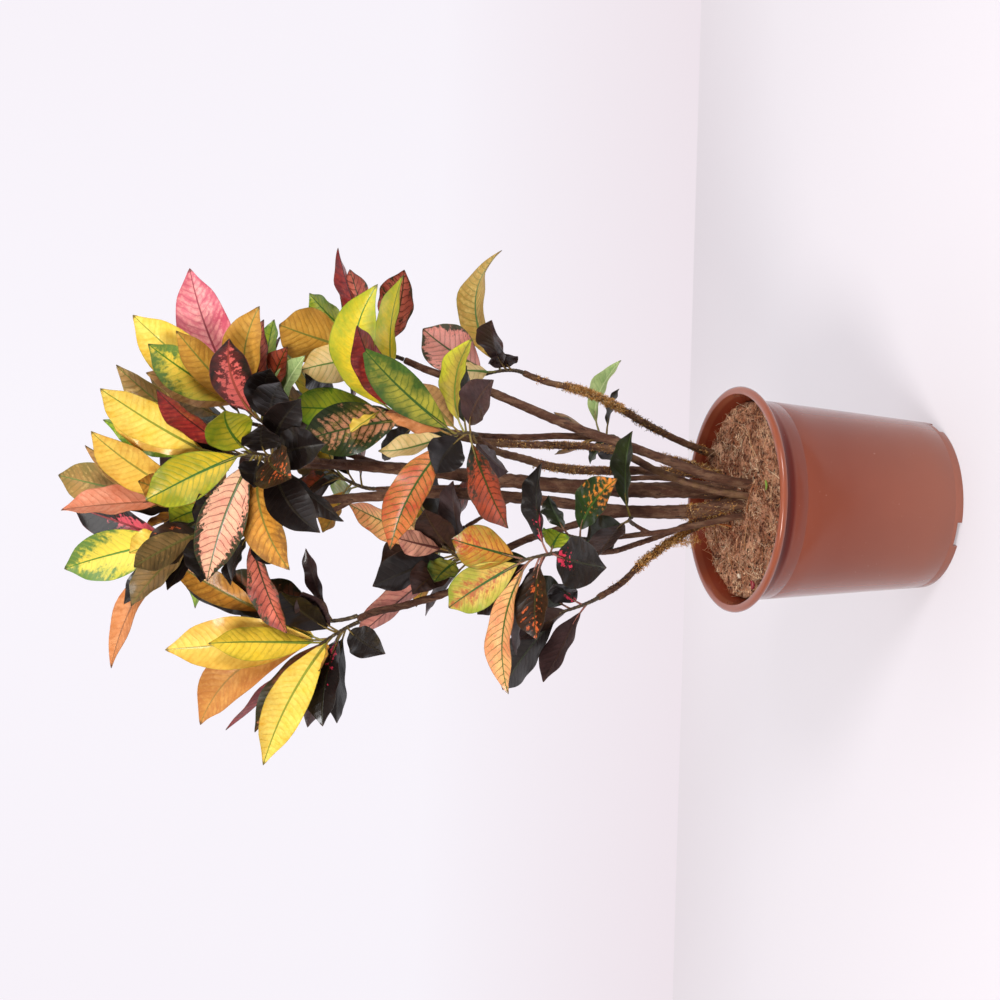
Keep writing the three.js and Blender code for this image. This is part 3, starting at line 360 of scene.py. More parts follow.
# Heads of leaves: the woody end that the shoot grows from, the shoot's tip, and the leaves, each
# (right, back, up, width, turn, arch) as in the part's source, and then the name of its tint
HEADS = {
    "centre_front": ("thick_centre.front", (35, -90, 875), (
        (-70, -40, -100, 32, 5, 10, "dark"), (-85, -105, -55, 46, -50, 12, "dark"),
        (10, -85, -60, 46, 10, 10, "dark"), (55, -65, -40, 40, 55, 10, "dark"),
        (-25, -80, -25, 52, -35, 10, "darkorange"), (25, -45, -5, 42, 85, 8, "dark"),
        (-80, 100, -75, 42, -70, 8, "dark"), (-35, -35, 0, 40, -85, 6, "dark"),
        (-125, -25, -45, 48, -40, 14, "orange"), (-140, 10, 15, 42, -5, 4, "dark"),
        (-140, -20, 45, 52, -75, 5, "peachpink"), (45, -55, 40, 54, 105, 10, "limeyellow"),
        (-55, 85, 90, 54, -35, 4, "yellowgreen"),
    )),
    "left_top": ("thick_left.low", (-175, -20, 765), (
        (-5, -70, -50, 36, -30, 8, "dark"), (-95, 75, -45, 42, -30, 6, "dark"),
        (-90, -25, 5, 44, -40, 8, "darkdots"), (-60, 10, 5, 38, -20, 4, "dark"),
        (-100, 75, -10, 42, -15, 5, "purple"), (60, -35, 35, 36, 75, 8, "purple"),
        (55, -35, 60, 40, 90, 5, "dark"), (-100, -10, 75, 44, -35, 6, "darkpeach"),
        (-125, -85, 85, 46, -80, 5, "yellow"), (-105, 20, 105, 40, 45, 3, "crimson"),
        (-30, -35, 10, 30, -25, 6, "orange"), (-100, 25, 140, 54, -45, 20, "orangetan"),
        (-10, 40, 170, 60, -10, 3, "golden"), (25, -10, 60, 22, 65, 3, "yellow"),
        (0, 10, 125, 40, 25, -2, "lemon"),
    )),
    "right_front": ("mossy_left", (60, -110, 650), (
        (-40, 40, -80, 42, 50, 8, "purple"), (60, -70, -20, 42, 30, 10, "purple"),
        (-100, -60, -45, 46, -25, 4, "redorange"), (-40, -35, 25, 44, -95, 8, "dark"),
        (85, 50, -30, 38, 10, 3, "darkgreen"), (110, -10, -15, 44, 15, 16, "oliveyellow"),
        (5, 35, 20, 22, -50, 2, "darkgreen"), (65, 80, 20, 42, -110, 3, "tan"),
        (-125, -25, 75, 46, -50, 9, "ember"), (90, -35, 115, 45, 90, 3, "greenlime"),
        (-20, 70, 60, 34, 25, 0, "cream"), (25, -10, 80, 36, -45, -3, "peach"),
    )),
    "left_front": ("left_front", (-75, -110, 560), (
        (-5, -90, -60, 58, -10, 8, "darkdots"), (35, 40, -60, 36, 95, 3, "lime"),
        (110, -10, -10, 44, 15, 10, "darkdots"), (-45, 35, -20, 30, 0, 3, "dark"),
        (-85, -40, 0, 46, -30, 6, "darkorange"), (-110, 55, -10, 44, 0, 4, "purple"),
        (-20, 65, 50, 42, 20, 3, "darkgreen"), (-65, 60, 35, 42, -10, 3, "dark"),
        (-150, -10, 20, 41, -20, 13, "peachorange"), (-60, 85, 60, 50, -35, 4, "yellowred"),
        (20, 70, 60, 50, 15, 2, "redgold"),
    )),
    "right_mid_front": ("mossy_right", (90, -55, 715), (
        (-55, 50, -15, 36, 10, 3, "dark"), (65, 40, 10, 36, -5, 3, "dark"),
        (-40, 5, 90, 60, -70, 3, "darkgreenpeach"), (85, -90, 60, 40, -55, 4, "crimson"),
        (150, -10, -15, 46, 15, 10, "sunlime"), (130, -85, 35, 54, 55, 22, "sunlime"),
        (0, 90, 80, 48, 0, 2, "lime"), (-25, -20, 40, 24, -55, 0, "yellow"),
    )),
    "crown_yellow": ("thick_centre", (35, -20, 905), (
        (60, -50, 65, 38, 65, 5, "crimson"), (40, -10, 50, 40, 40, 5, "dark"),
        (60, 20, 65, 38, 5, 3, "yellow"), (90, 20, 100, 48, 30, 3, "tanolive"),
        (30, 85, 100, 46, -15, 3, "lime"), (40, 10, 110, 50, 30, 3, "golden"),
        (65, -20, 120, 50, 85, 4, "yellow"),
    )),
    "crown_left": ("thick_left.crown", (-65, 15, 930), (
        (-40, -60, -20, 44, -85, 8, "dark"), (-55, -10, 5, 36, -35, 8, "dark"),
        (-15, -35, 35, 46, 50, 3, "darkorange"), (-30, -10, 40, 36, 45, 3, "olive"),
        (-70, -10, 50, 44, -45, 4, "olive"), (-70, 10, 55, 38, -20, 3, "dark"),
        (-145, 35, 60, 36, -20, 12, "peach"), (-45, 85, 60, 30, 90, 2, "peach"),
        (-10, -25, 55, 40, -80, 3, "yellow"), (-35, 100, 100, 56, -20, 3, "greenyellow"),
        (35, 90, 100, 48, -5, 3, "darkpink"),
    )),
    "crown_right": ("thick_centre.right", (90, 5, 860), (
        (25, -65, -30, 42, 65, 8, "dark"), (55, -55, -55, 32, 15, 6, "palegreen"),
        (40, -55, -20, 44, 70, 8, "dark"), (95, -20, -15, 46, 35, 8, "coral"),
        (65, -35, -40, 40, 25, 6, "redorange"), (100, 25, -40, 42, 25, 4, "lime"),
        (105, -65, 0, 50, 40, 14, "ochre"), (70, -65, 30, 46, 90, 10, "pinkdark"),
        (85, 35, 25, 44, 30, 4, "olive"), (-40, -40, 40, 38, 20, 3, "ochre"),
        (150, 15, 60, 60, 60, 6, "rose"), (75, 10, 65, 36, -70, 2, "ochre"),
        (95, 20, 120, 58, 60, 3, "yellow"), (35, 75, 90, 42, -10, 2, "tan"),
        (60, -20, 110, 50, 75, 3, "greenyellow"),
    )),
    "crown_back": ("thick_left", (-20, 40, 930), (
        (-20, -30, 5, 38, -100, 4, "lime"), (-30, -10, 35, 36, 10, 2, "orange"),
        (20, -10, 35, 36, -20, 2, "orange"), (55, 15, 55, 38, 15, 4, "dark"),
        (-10, -10, 50, 28, -80, 3, "dark"), (70, -50, 100, 50, 85, 4, "golden"),
        (55, 20, 95, 42, -60, 3, "tan"), (-5, 60, 70, 42, 50, 3, "ochre"),
        (-10, 10, 120, 46, 0, 3, "salmon"), (25, 100, 110, 52, 5, 3, "tanolive"),
    )),
    "right_mid": ("leaning", (155, 0, 735), (
        (-25, -30, 65, 46, 35, 2, "cream"), (90, -40, -45, 54, 25, -4, "coral"),
        (95, 40, -10, 46, 25, 5, "coral"), (115, 10, 20, 34, -45, 3, "crimson"),
        (65, 50, 40, 46, 10, 3, "lime"), (25, -30, 95, 62, -45, 2, "ochre"),
        (-40, 75, 35, 40, -15, 3, "dark"),
    )),
    "right_low": ("outer_right", (135, -10, 575), (
        (25, -30, -5, 36, 75, 4, "purple"), (55, -60, 20, 40, 45, 6, "purple"),
        (155, 80, -40, 50, 25, 20, "ochreline"), (0, -30, 50, 30, 25, 0, "cream"),
        (45, -25, 85, 56, -75, 2, "dustypink"),
    )),
    "left_mid": ("thick_left.mid", (-65, 0, 615), (
        (-80, 65, 5, 36, 20, 4, "purple"), (-50, -25, 45, 42, -85, 8, "maroon"),
        (75, -10, 0, 42, 20, 5, "purple"), (45, -25, 35, 44, 75, 8, "maroon"),
        (-35, -25, 20, 36, -95, 5, "greenlime"), (-110, 30, 95, 42, 70, 6, "rosebrown"),
        (-50, 20, 50, 34, 65, 3, "tan"), (-45, 10, 85, 46, 80, 3, "dark"),
        (25, 70, 35, 40, 10, 3, "dark"), (35, 50, 30, 32, -10, 3, "cream"),
        (10, -15, 65, 30, -15, 2, "pink"), (45, 105, 90, 40, -5, 3, "peachorange"),
    )),
    "left_low": ("outer_left", (-135, -60, 495), (
        (-80, -10, 20, 44, -20, 5, "purple"), (35, -15, 15, 36, 70, 5, "darkdots"),
        (-40, -15, 60, 42, 55, 3, "maroon"), (30, 70, 10, 42, 35, 3, "darkgreen"),
        (-95, 70, 45, 50, -20, 6, "darkgrey"),
    )),
    "left_upper": ("thick_left.low", (-145, 30, 815), (
        (75, -15, -40, 22, 25, 6, "purple"), (40, -30, 15, 42, 100, 6, "darkpeach"),
        (45, 20, 50, 50, 30, 4, "darkpeach"), (0, 50, 25, 42, -15, 3, "dark"),
        (45, 80, 90, 44, -5, 3, "darkgrey"), (60, -15, 125, 36, 55, 4, "orange"),
    )),
    "centre_left": ("thick_left.top", (-60, -25, 865), (
        (-20, -65, -35, 42, -40, 8, "dark"), (-50, -10, 15, 40, -15, 5, "dark"),
        (-105, -20, -50, 44, -25, 6, "coral"), (45, -75, -50, 42, 10, 8, "dark"),
        (-40, 70, 40, 40, -35, 4, "dark"), (45, -35, 55, 42, 75, 4, "dark"),
    )),
    "low_centre": ("left_inner", (-45, -60, 495), (
        (65, -55, -40, 46, 20, 12, "darkgreenorange"), (40, -10, 25, 28, 40, 3, "darkgreen"),
    )),
    "low_front": ("left_inner.front", (-25, -60, 410), (
        (-30, -20, 60, 42, -125, 4, "darkgreen"), (-55, -10, 45, 42, -65, 6, "maroon"),
        (100, -20, 15, 42, 10, 8, "darkgreen"),
    )),
    "low_back": ("back_right.low", (70, 70, 405), (
        (-30, 15, 5, 24, 0, 3, "darkgreen"), (-30, -40, -5, 28, -60, 4, "dark"),
        (60, -10, -20, 20, 0, 4, "darkgrey"), (-25, 30, 40, 30, 15, 3, "olive"),
        (90, -15, -25, 34, 10, 22, "palegreen"), (30, 50, 35, 40, -5, 3, "olive"),
    )),
}

# Heads that fill the back, where the photograph shows no leaves: the woody end, the shoot's tip,
# how far the leaves reach and how many there are, as in the part's source
BACK_HEADS = {
    "back_crown_left": ("thick_left.back", (-34, 98, 872), 114, 9),
    "back_crown_right": ("thick_centre.back", (76, 86, 862), 124, 9),
    "back_centre": ("behind.main", (20, 104, 722), 76, 9),
    "back_right": ("back_right.main", (88, 104, 735), 108, 8),
    "back_left": ("behind.left", (-52, 112, 594), 92, 8),
}

# How the leaves of these heads are spread: the bearings' range and the rises in degrees
BACK_SPREAD = 250
BACK_LOWEST_RISE = -25
BACK_HIGHEST_RISE = 55
BACK_LEAF_WIDTH = 46
BACK_TURN_STEP = 12
BACK_ARCH = 8
BACK_TAPER = 0.25
GOLDEN_SHARE = 0.618034


def deselected() -> None:
    """Deselects every object, since an operator acts on all that is selected."""
    bpy.ops.object.select_all(action="DESELECT")


def chosen(thing: bpy.types.Object) -> bpy.types.Object:
    """Makes one object the only selected and the active one.

    Args:
        thing: the object.

    Returns:
        The same object.
    """
    deselected()
    thing.select_set(True)
    bpy.context.view_layer.objects.active = thing
    return thing


def modified(thing: bpy.types.Object, kind: str, **settings: object) -> None:
    """Adds a modifier and applies it at once.

    Args:
        thing: the object to change.
        kind: the modifier's type.
        settings: the modifier's settings.
    """
    chosen(thing)
    modifier = thing.modifiers.new(kind.lower(), kind)
    for key, value in settings.items():
        setattr(modifier, key, value)
    bpy.ops.object.modifier_apply(modifier=modifier.name)


def corners(mesh: bpy.types.Mesh) -> np.ndarray:
    """Reads the places of a mesh's vertices.

    Args:
        mesh: the mesh.

    Returns:
        One row of three numbers for each vertex.
    """
    flat = np.empty(len(mesh.vertices) * 3)
    mesh.vertices.foreach_get("co", flat)
    return flat.reshape(-1, 3)


def moved(mesh: bpy.types.Mesh, places: np.ndarray) -> None:
    """Gives a mesh's vertices new places.

    Args:
        mesh: the mesh.
        places: one row of three numbers for each vertex.
    """
    mesh.vertices.foreach_set("co", np.ascontiguousarray(places, dtype=float).ravel())
    mesh.update()


def marked(mesh: bpy.types.Mesh, name: str, values: np.ndarray) -> None:
    """Stores three numbers for each vertex of a mesh, for its material to read.

    Args:
        mesh: the mesh.
        name: the attribute's name.
        values: one row of three numbers for each vertex.
    """
    layer = mesh.attributes.new(name, "FLOAT_VECTOR", "POINT")
    layer.data.foreach_set("vector", np.ascontiguousarray(values, dtype=float).ravel())


def meshed(name: str, places: list, faces: list, edges: tuple | list = ()) -> bpy.types.Object:
    """Makes an object from its vertices, faces and edges.

    Args:
        name: its name.
        places: a place for each vertex.
        faces: each face's vertices.
        edges: each loose edge's two vertices.

    Returns:
        The object, selected and active.
    """
    mesh = bpy.data.meshes.new(name)
    mesh.from_pydata(places, edges, faces)
    thing = bpy.data.objects.new(name, mesh)
    bpy.context.scene.collection.objects.link(thing)
    return chosen(thing)


def ring_frames(run: np.ndarray) -> tuple[np.ndarray, np.ndarray]:
    """Finds two directions square to a line at each of its points, without twist along it.

    Args:
        run: the line's points.

    Returns:
        The two directions at each point.
    """
    ways = np.gradient(run[:, :3], axis=0)
    ways /= np.linalg.norm(ways, axis=1)[:, None] + TINY
    sides = np.empty_like(ways)
    side = np.array((1.0, 0, 0)) if abs(ways[0][0]) < 0.9 else np.array((0, 1.0, 0))
    for k, way in enumerate(ways):
        side = side - way * side.dot(way)
        side = side / (np.linalg.norm(side) + TINY)
        sides[k] = side
    return sides, np.cross(ways, sides)


def laid(runs: list[np.ndarray], sides: int) -> tuple[np.ndarray, list[tuple], list[int]]:
    """Lays closed round rods along lines.

    The rings are laid here, because a bevelled curve leaves out points where a thin strand kinks.

    Args:
        runs: for each rod its points in metres, each with a radius as its fourth number.
        sides: how many sides the rods have.

    Returns:
        The places of all vertices, the faces, and the number of vertices of each rod.
    """
    turns = np.arange(sides) * math.tau / sides
    places = []
    faces = []
    counts = []
    start = 0
    for run in runs:
        one, two = ring_frames(run)
        round_one = one[:, None] * np.cos(turns)[None, :, None]
        round_two = two[:, None] * np.sin(turns)[None, :, None]
        rings = run[:, None, :3] + (round_one + round_two) * run[:, None, 3:4]
        places += [run[:1, :3], rings.reshape(-1, 3), run[-1:, :3]]
        last = start + 1 + (len(run) - 1) * sides
        for i in range(sides):
            j = (i + 1) % sides
            faces.append((start, start + 1 + j, start + 1 + i))
            faces.append((last + i, last + j, last + sides))
            for k in range(start + 1, last, sides):
                faces.append((k + i, k + j, k + sides + j, k + sides + i))
        counts.append(len(run) * sides + 2)
        start += counts[-1]
    return np.vstack(places), faces, counts


def smooth_run(rows: list[tuple[float, ...]], step: float) -> np.ndarray:
    """Draws a smooth line through the rows of a stem.

    Args:
        rows: right, back, up and radius of each point, in metres.
        step: how far apart the line's points are, in metres.

    Returns:
        The line's points, each with a radius as its fourth number.
    """
    table = np.array(rows, dtype=float)
    table = np.vstack((2 * table[0] - table[1], table, 2 * table[-1] - table[-2]))
    line = []
    for k in range(1, len(table) - 2):
        before, start, end, after = table[k - 1:k + 3]
        count = max(2, round(np.linalg.norm(end[:3] - start[:3]) / step))
        for t in np.arange(count) / count:
            line.append(0.5 * (2 * start + (end - before) * t
                               + (2 * before - 5 * start + 4 * end - after) * t ** 2
                               + (3 * start - before - 3 * end + after) * t ** 3))
    line.append(table[-2])
    return np.array(line)


class Wire:
    """A value that runs between a material's nodes, and takes part in sums."""

    def __init__(self, shader: "Shader", socket: bpy.types.NodeSocket) -> None:
        """Wraps an output socket.

        Args:
            shader: the material's node maker.
            socket: the output socket.
        """
        self.shader = shader
        self.socket = socket

    def joined(self, operation: str, one: "Wire | float", two: "Wire | float" = 0.0) -> "Wire":
        """Adds a Math node.

        Args:
            operation: the node's operation.
            one: its first value.
            two: its second value.

        Returns:
            The result.
        """
        return self.shader.node("ShaderNodeMath", {"operation": operation}, {0: one, 1: two})

    def __add__(self, other: "Wire | float") -> "Wire":
        """Adds."""
        return self.joined("ADD", self, other)

    def __sub__(self, other: "Wire | float") -> "Wire":
        """Takes away."""
        return self.joined("SUBTRACT", self, other)

    def __rsub__(self, other: float) -> "Wire":
        """Is taken away from a number."""
        return self.joined("SUBTRACT", other, self)

    def __mul__(self, other: "Wire | float") -> "Wire":
        """Multiplies."""
        return self.joined("MULTIPLY", self, other)

    def __truediv__(self, other: "Wire | float") -> "Wire":
        """Divides."""
        return self.joined("DIVIDE", self, other)

    def __pow__(self, other: float) -> "Wire":
        """Raises to a power."""
        return self.joined("POWER", self, other)

    __radd__ = __add__
    __rmul__ = __mul__

    def size(self) -> "Wire":
        """Drops the sign."""
        return self.joined("ABSOLUTE", self)

    def part(self) -> "Wire":
        """Keeps what is left over from whole numbers."""
        return self.joined("FRACT", self)

    def above(self, edge: "Wire | float", soft: float) -> "Wire":
        """Tells where this value is above an edge.

        Args:
            edge: the value of the edge.
            soft: how wide the step at the edge is.

        Returns:
            0 below the edge and 1 above it.
        """
        step = (self - edge) / soft + 0.5
        step.socket.node.use_clamp = True
        return step


class Shader:
    """Makes the nodes of one material, or of the air round the studio."""

    def __init__(self, name: str, kind: str = "materials", surface: str = "Principled BSDF") -> None:
        """Starts a material.

        Args:
            name: its name.
            kind: materials, or worlds for the air.
            surface: the node that gives it its look.
        """
        self.material = getattr(bpy.data, kind).new(name)
        self.material.use_nodes = True
        self.tree = self.material.node_tree
        self.surface = self.tree.nodes[surface]

    def fill(self, made: bpy.types.Node, values: dict[int | str, object]) -> None:
        """Gives a node its values and links.

        Args:
            made: the node.
            values: for each input either a value or a wire.
        """
        for key, value in values.items():
            if isinstance(value, Wire):
                self.tree.links.new(value.socket, made.inputs[key])
            else:
                made.inputs[key].default_value = value

    def node(self, kind: str, settings: dict[str, object], values: dict[int | str, object],
             output: int | str = 0) -> Wire:
        """Adds a node.

        Args:
            kind: the node's type.
            settings: its settings, set first.
            values: for each input either a value or a wire.
            output: the output that is used.

        Returns:
            That output.
        """
        made = self.tree.nodes.new(kind)
        for key, value in settings.items():
            setattr(made, key, value)
        self.fill(made, values)
        return Wire(self, made.outputs[output])

    def attribute(self, name: str) -> Wire:
        """Reads an attribute of the mesh as a vector or colour."""
        return self.node("ShaderNodeAttribute", {"attribute_name": name}, {}, "Vector")

    def place(self) -> Wire:
        """Reads the place on the piece, in metres."""
        return self.node("ShaderNodeTexCoord", {}, {}, "Object")

    def parts(self, vector: Wire) -> tuple[Wire, Wire, Wire]:
        """Takes a vector apart.

        Args:
            vector: the vector.

        Returns:
            Its three numbers.
        """
        first = self.node("ShaderNodeSeparateXYZ", {}, {0: vector})
        return tuple(Wire(self, first.socket.node.outputs[k]) for k in range(3))

    def vector(self, x: Wire | float, y: Wire | float, z: Wire | float) -> Wire:
        """Makes a vector of three numbers."""
        return self.node("ShaderNodeCombineXYZ", {}, {0: x, 1: y, 2: z})

    def scaled(self, vector: Wire, x: float, y: float, z: float) -> Wire:
        """Stretches a vector."""
        return self.node("ShaderNodeVectorMath", {"operation": "MULTIPLY"}, {0: vector, 1: (x, y, z)})

    def noise(self, vector: Wire, scale: float, detail: float = 2.0, rough: float = 0.5) -> Wire:
        """Makes a cloudy pattern.

        Args:
            vector: the place.
            scale: how many clouds there are in one unit of the place.
            detail: how many finer layers it has.
            rough: how strong the finer layers are.

        Returns:
            A number round 0.5.
        """
        values = {"Vector": vector, "Scale": scale, "Detail": detail, "Roughness": rough}
        return self.node("ShaderNodeTexNoise", {}, values)

    def mix(self, share: Wire | float, one: Wire | tuple, two: Wire | tuple) -> Wire:
        """Mixes two colours.

        Args:
            share: how much of the second.
            one: the first colour.
            two: the second colour.

        Returns:
            The mixed colour.
        """
        colours = [c if isinstance(c, Wire) else (*c, 1.0) for c in (one, two)]
        values = {0: share, 6: colours[0], 7: colours[1]}
        return self.node("ShaderNodeMix", {"data_type": "RGBA"}, values, 2)

    def bumped(self, height: Wire, strength: float = 1.0) -> Wire:
        """Turns a height in millimetres into a bent normal."""
        values = {"Strength": strength, "Distance": MM, "Height": height}
        return self.node("ShaderNodeBump", {}, values)

    def finished(self, **values: object) -> bpy.types.Material:
        """Gives the surface its values.

        Args:
            values: for each input of the surface, with _ for a blank, a value or a wire.

        Returns:
            The material.
        """
        self.fill(self.surface, {key.replace("_", " "): value for key, value in values.items()})
        return self.material


@dataclass(frozen=True)
class PotPlastic:
    """Satin terracotta plastic of the pot.

    Attributes:
        light: its lighter colour.
        dark: its darker colour.
        shade: its painted shade under the lip, which also stands in for a dark reflection at the front.
        lip_highlight: painted highlight on the front half of the lip, paler than the body.
        dust: colour of the dust and of the painted floor sheen on its lower half.
        specks: colour of its rubbed specks.
        roughness: how rough it is on average.
    """

    light: str = "894129"
    dark: str = "7b3823"
    shade: str = "641b0e"
    lip_highlight: str = "b2674b"
    dust: str = "dcae9a"
    specks: str = "c08f7c"
    roughness: float = 0.2

    def material(self) -> bpy.types.Material:
        """Makes the material."""
        shader = Shader("pot_plastic")
        place = shader.place()
        _, back, up = shader.parts(place)
        cloud = shader.noise(place, 9, 3)
        ripple = shader.noise(place, 70, 2)
        grain = shader.noise(place, 900, 2)
        speck = shader.noise(place, 260, 2).above(0.76, 0.04)
        body = shader.mix(cloud, srgb(self.dark), srgb(self.light))
        body = shader.mix(speck * 0.3, body, srgb(self.specks))
        below_lip = 1 - up.above(LIP_FOOT - 0.5 * MM, 0.002)
        # Painted shade on the band between the shoulder line and the lip
        band_shade = up.above(BAND_FOOT, 0.002) * below_lip
        body = shader.mix(band_shade * 0.25, body, srgb(self.shade))
        # Painted shadow and dark reflection under the lip's flare, deepest at the front, where the coat is
        # thinned too
        under = up.above(FLARE_FOOT, 0.004) * below_lip
        front = (back * -1).above(0.09, 0.03)
        body = shader.mix(under * (0.35 + front * 0.6), body, srgb(self.shade))
        # Painted highlight: the front half of the lip is paler
        lip = up.above(LIP_FOOT, 0.003) * (back * -1 + 0.05).above(0, 0.1)
        body = shader.mix(lip * 0.35, body, srgb(self.lip_highlight))
        # Dust and painted sheen: paler towards the bottom
        body = shader.mix((1 - up.above(0.08, 0.16)) * 0.12, body, srgb(self.dust))
        rough = self.roughness + (cloud - 0.5) * 0.06 + speck * 0.1
        return shader.finished(
            Base_Color=body, Roughness=rough, Normal=shader.bumped(grain * 0.02 + ripple * 0.05),
            Specular_IOR_Level=0.15, Coat_Weight=0.75 - under * 0.7, Coat_Roughness=self.roughness)


@dataclass(frozen=True)
class PottingSoil:
    """Coir and peat, dry and pale in places.

    Attributes:
        dry: colour of its dry crumbs.
        damp: its ground colour.
        dark: colour of its hollows.
        lump_gaps: its darker colour between its lumps, where its relief lies low.
        grain: colour of its pale grains.
    """

    dry: str = "dcaa88"
    damp: str = "9c6044"
    dark: str = "3a1c11"
    lump_gaps: str = "4e2718"
    grain: str = "d8b090"

    def material(self) -> bpy.types.Material:
        """Makes the material."""
        shader = Shader("potting_soil")
        place = shader.place()
        dust = shader.noise(place, 26, 3, 0.6)
        lumps = shader.noise(place, 90, 4, 0.6)
        crumbs = shader.noise(place, 240, 4, 0.65)
        grains = shader.noise(place, 700, 3, 0.7)
        body = shader.mix(crumbs.above(0.48, 0.14), srgb(self.dark), srgb(self.damp))
        body = shader.mix(dust.above(0.52, 0.12) * (lumps * 0.9 - 0.1), body, srgb(self.dry))
        # Darker between the lumps, where the relief lies low
        body = shader.mix(1 - lumps.above(0.46, 0.08), body, srgb(self.lump_gaps))
        body = shader.mix(grains.above(0.6, 0.08) * 0.5, body, srgb(self.grain))
        height = lumps * 3 + crumbs * 2.4 + grains * 0.7
        return shader.finished(
            Base_Color=body, Roughness=0.95, Normal=shader.bumped(height), Specular_IOR_Level=0.2)


@dataclass(frozen=True)
class Bark:
    """Brown bark with upright cracks and rough specks.

    Attributes:
        cover: whether moss stains it.
        light: colour of its dry ridges.
        warm: its ground colour.
        dark: colour of its cracks.
        cloud: colour of its darker stretches.
        speck: colour of its rough specks.
        stain: colour that moss leaves on it.
    """

    cover: Cover
    light: str = "7c5a43"
    warm: str = "5a3726"
    dark: str = "23130d"
    cloud: str = "4c2d1f"
    speck: str = "b8967a"
    stain: str = "8a6c3c"

    def material(self) -> bpy.types.Material:
        """Makes the material."""
        shader = Shader(self.cover.value)
        place = shader.place()
        along = shader.scaled(place, 1, 1, 0.14)
        cracks = shader.noise(along, 480, 4, 0.7)
        streaks = shader.noise(shader.scaled(place, 1, 1, 0.3), 150, 3, 0.6)
        cloud = shader.noise(place, 34, 3)
        grains = shader.noise(place, 700, 3, 0.65)
        body = shader.mix(streaks.above(0.52, 0.16), srgb(self.warm), srgb(self.light))
        body = shader.mix(cloud.above(0.5, 0.2) * 0.5, body, srgb(self.cloud))
        body = shader.mix((1 - cracks.above(0.4, 0.12)) * 0.85, body, srgb(self.dark))
        body = shader.mix(grains.above(0.66, 0.06) * 0.4, body, srgb(self.speck))
        if self.cover is Cover.MOSS:
            stain = shader.noise(place, 70, 4, 0.65).above(0.5, 0.12)
            body = shader.mix(stain * 0.22, body, srgb(self.stain))
        height = cracks * 1.3 + grains * 0.5 + streaks * 0.8
        return shader.finished(
            Base_Color=body, Roughness=0.75, Normal=shader.bumped(height), Specular_IOR_Level=0.35)


@dataclass(frozen=True)
class Strands:
    """Thin fibres, crumbs and moss, which carry their own colours.

    Attributes:
        name: the material's name.
        roughness: how rough they are.
        dark_mottle: colour that they darken towards in random spots.
    """

    name: str
    roughness: float = 0.85
    dark_mottle: str = "2c1c12"

    def material(self) -> bpy.types.Material:
        """Makes the material."""
        shader = Shader(self.name)
        place = shader.place()
        tone = shader.noise(place, 420, 3)
        own = shader.attribute("strand_colour")
        # Darker in random spots
        body = shader.mix((tone - 0.44) * 0.6, own, srgb(self.dark_mottle))
        return shader.finished(
            Base_Color=body, Roughness=self.roughness, Normal=shader.bumped(tone * 0.2),
            Specular_IOR_Level=0.25)


@dataclass(frozen=True)
class Shoot:
    """Green and reddish skin of the leaf stalks and the young shoots.

    Attributes:
        cloud: colour of its darker stretches.
        fleck: colour of its pale flecks.
    """

    cloud: str = "5a4a22"
    fleck: str = "e0c48a"

    def material(self) -> bpy.types.Material:
        """Makes the material."""
        shader = Shader("shoot")
        place = shader.place()
        own = shader.attribute("leaf_rib")
        tone = shader.noise(place, 260, 3)
        fine = shader.noise(shader.scaled(place, 1, 1, 0.3), 900, 2)
        body = shader.mix(tone.above(0.55, 0.3) * 0.4, own, srgb(self.cloud))
        body = shader.mix(fine.above(0.62, 0.1) * 0.25, body, srgb(self.fleck))
        return shader.finished(
            Base_Color=body, Roughness=0.5, Normal=shader.bumped(fine * 0.2 + tone * 0.3))


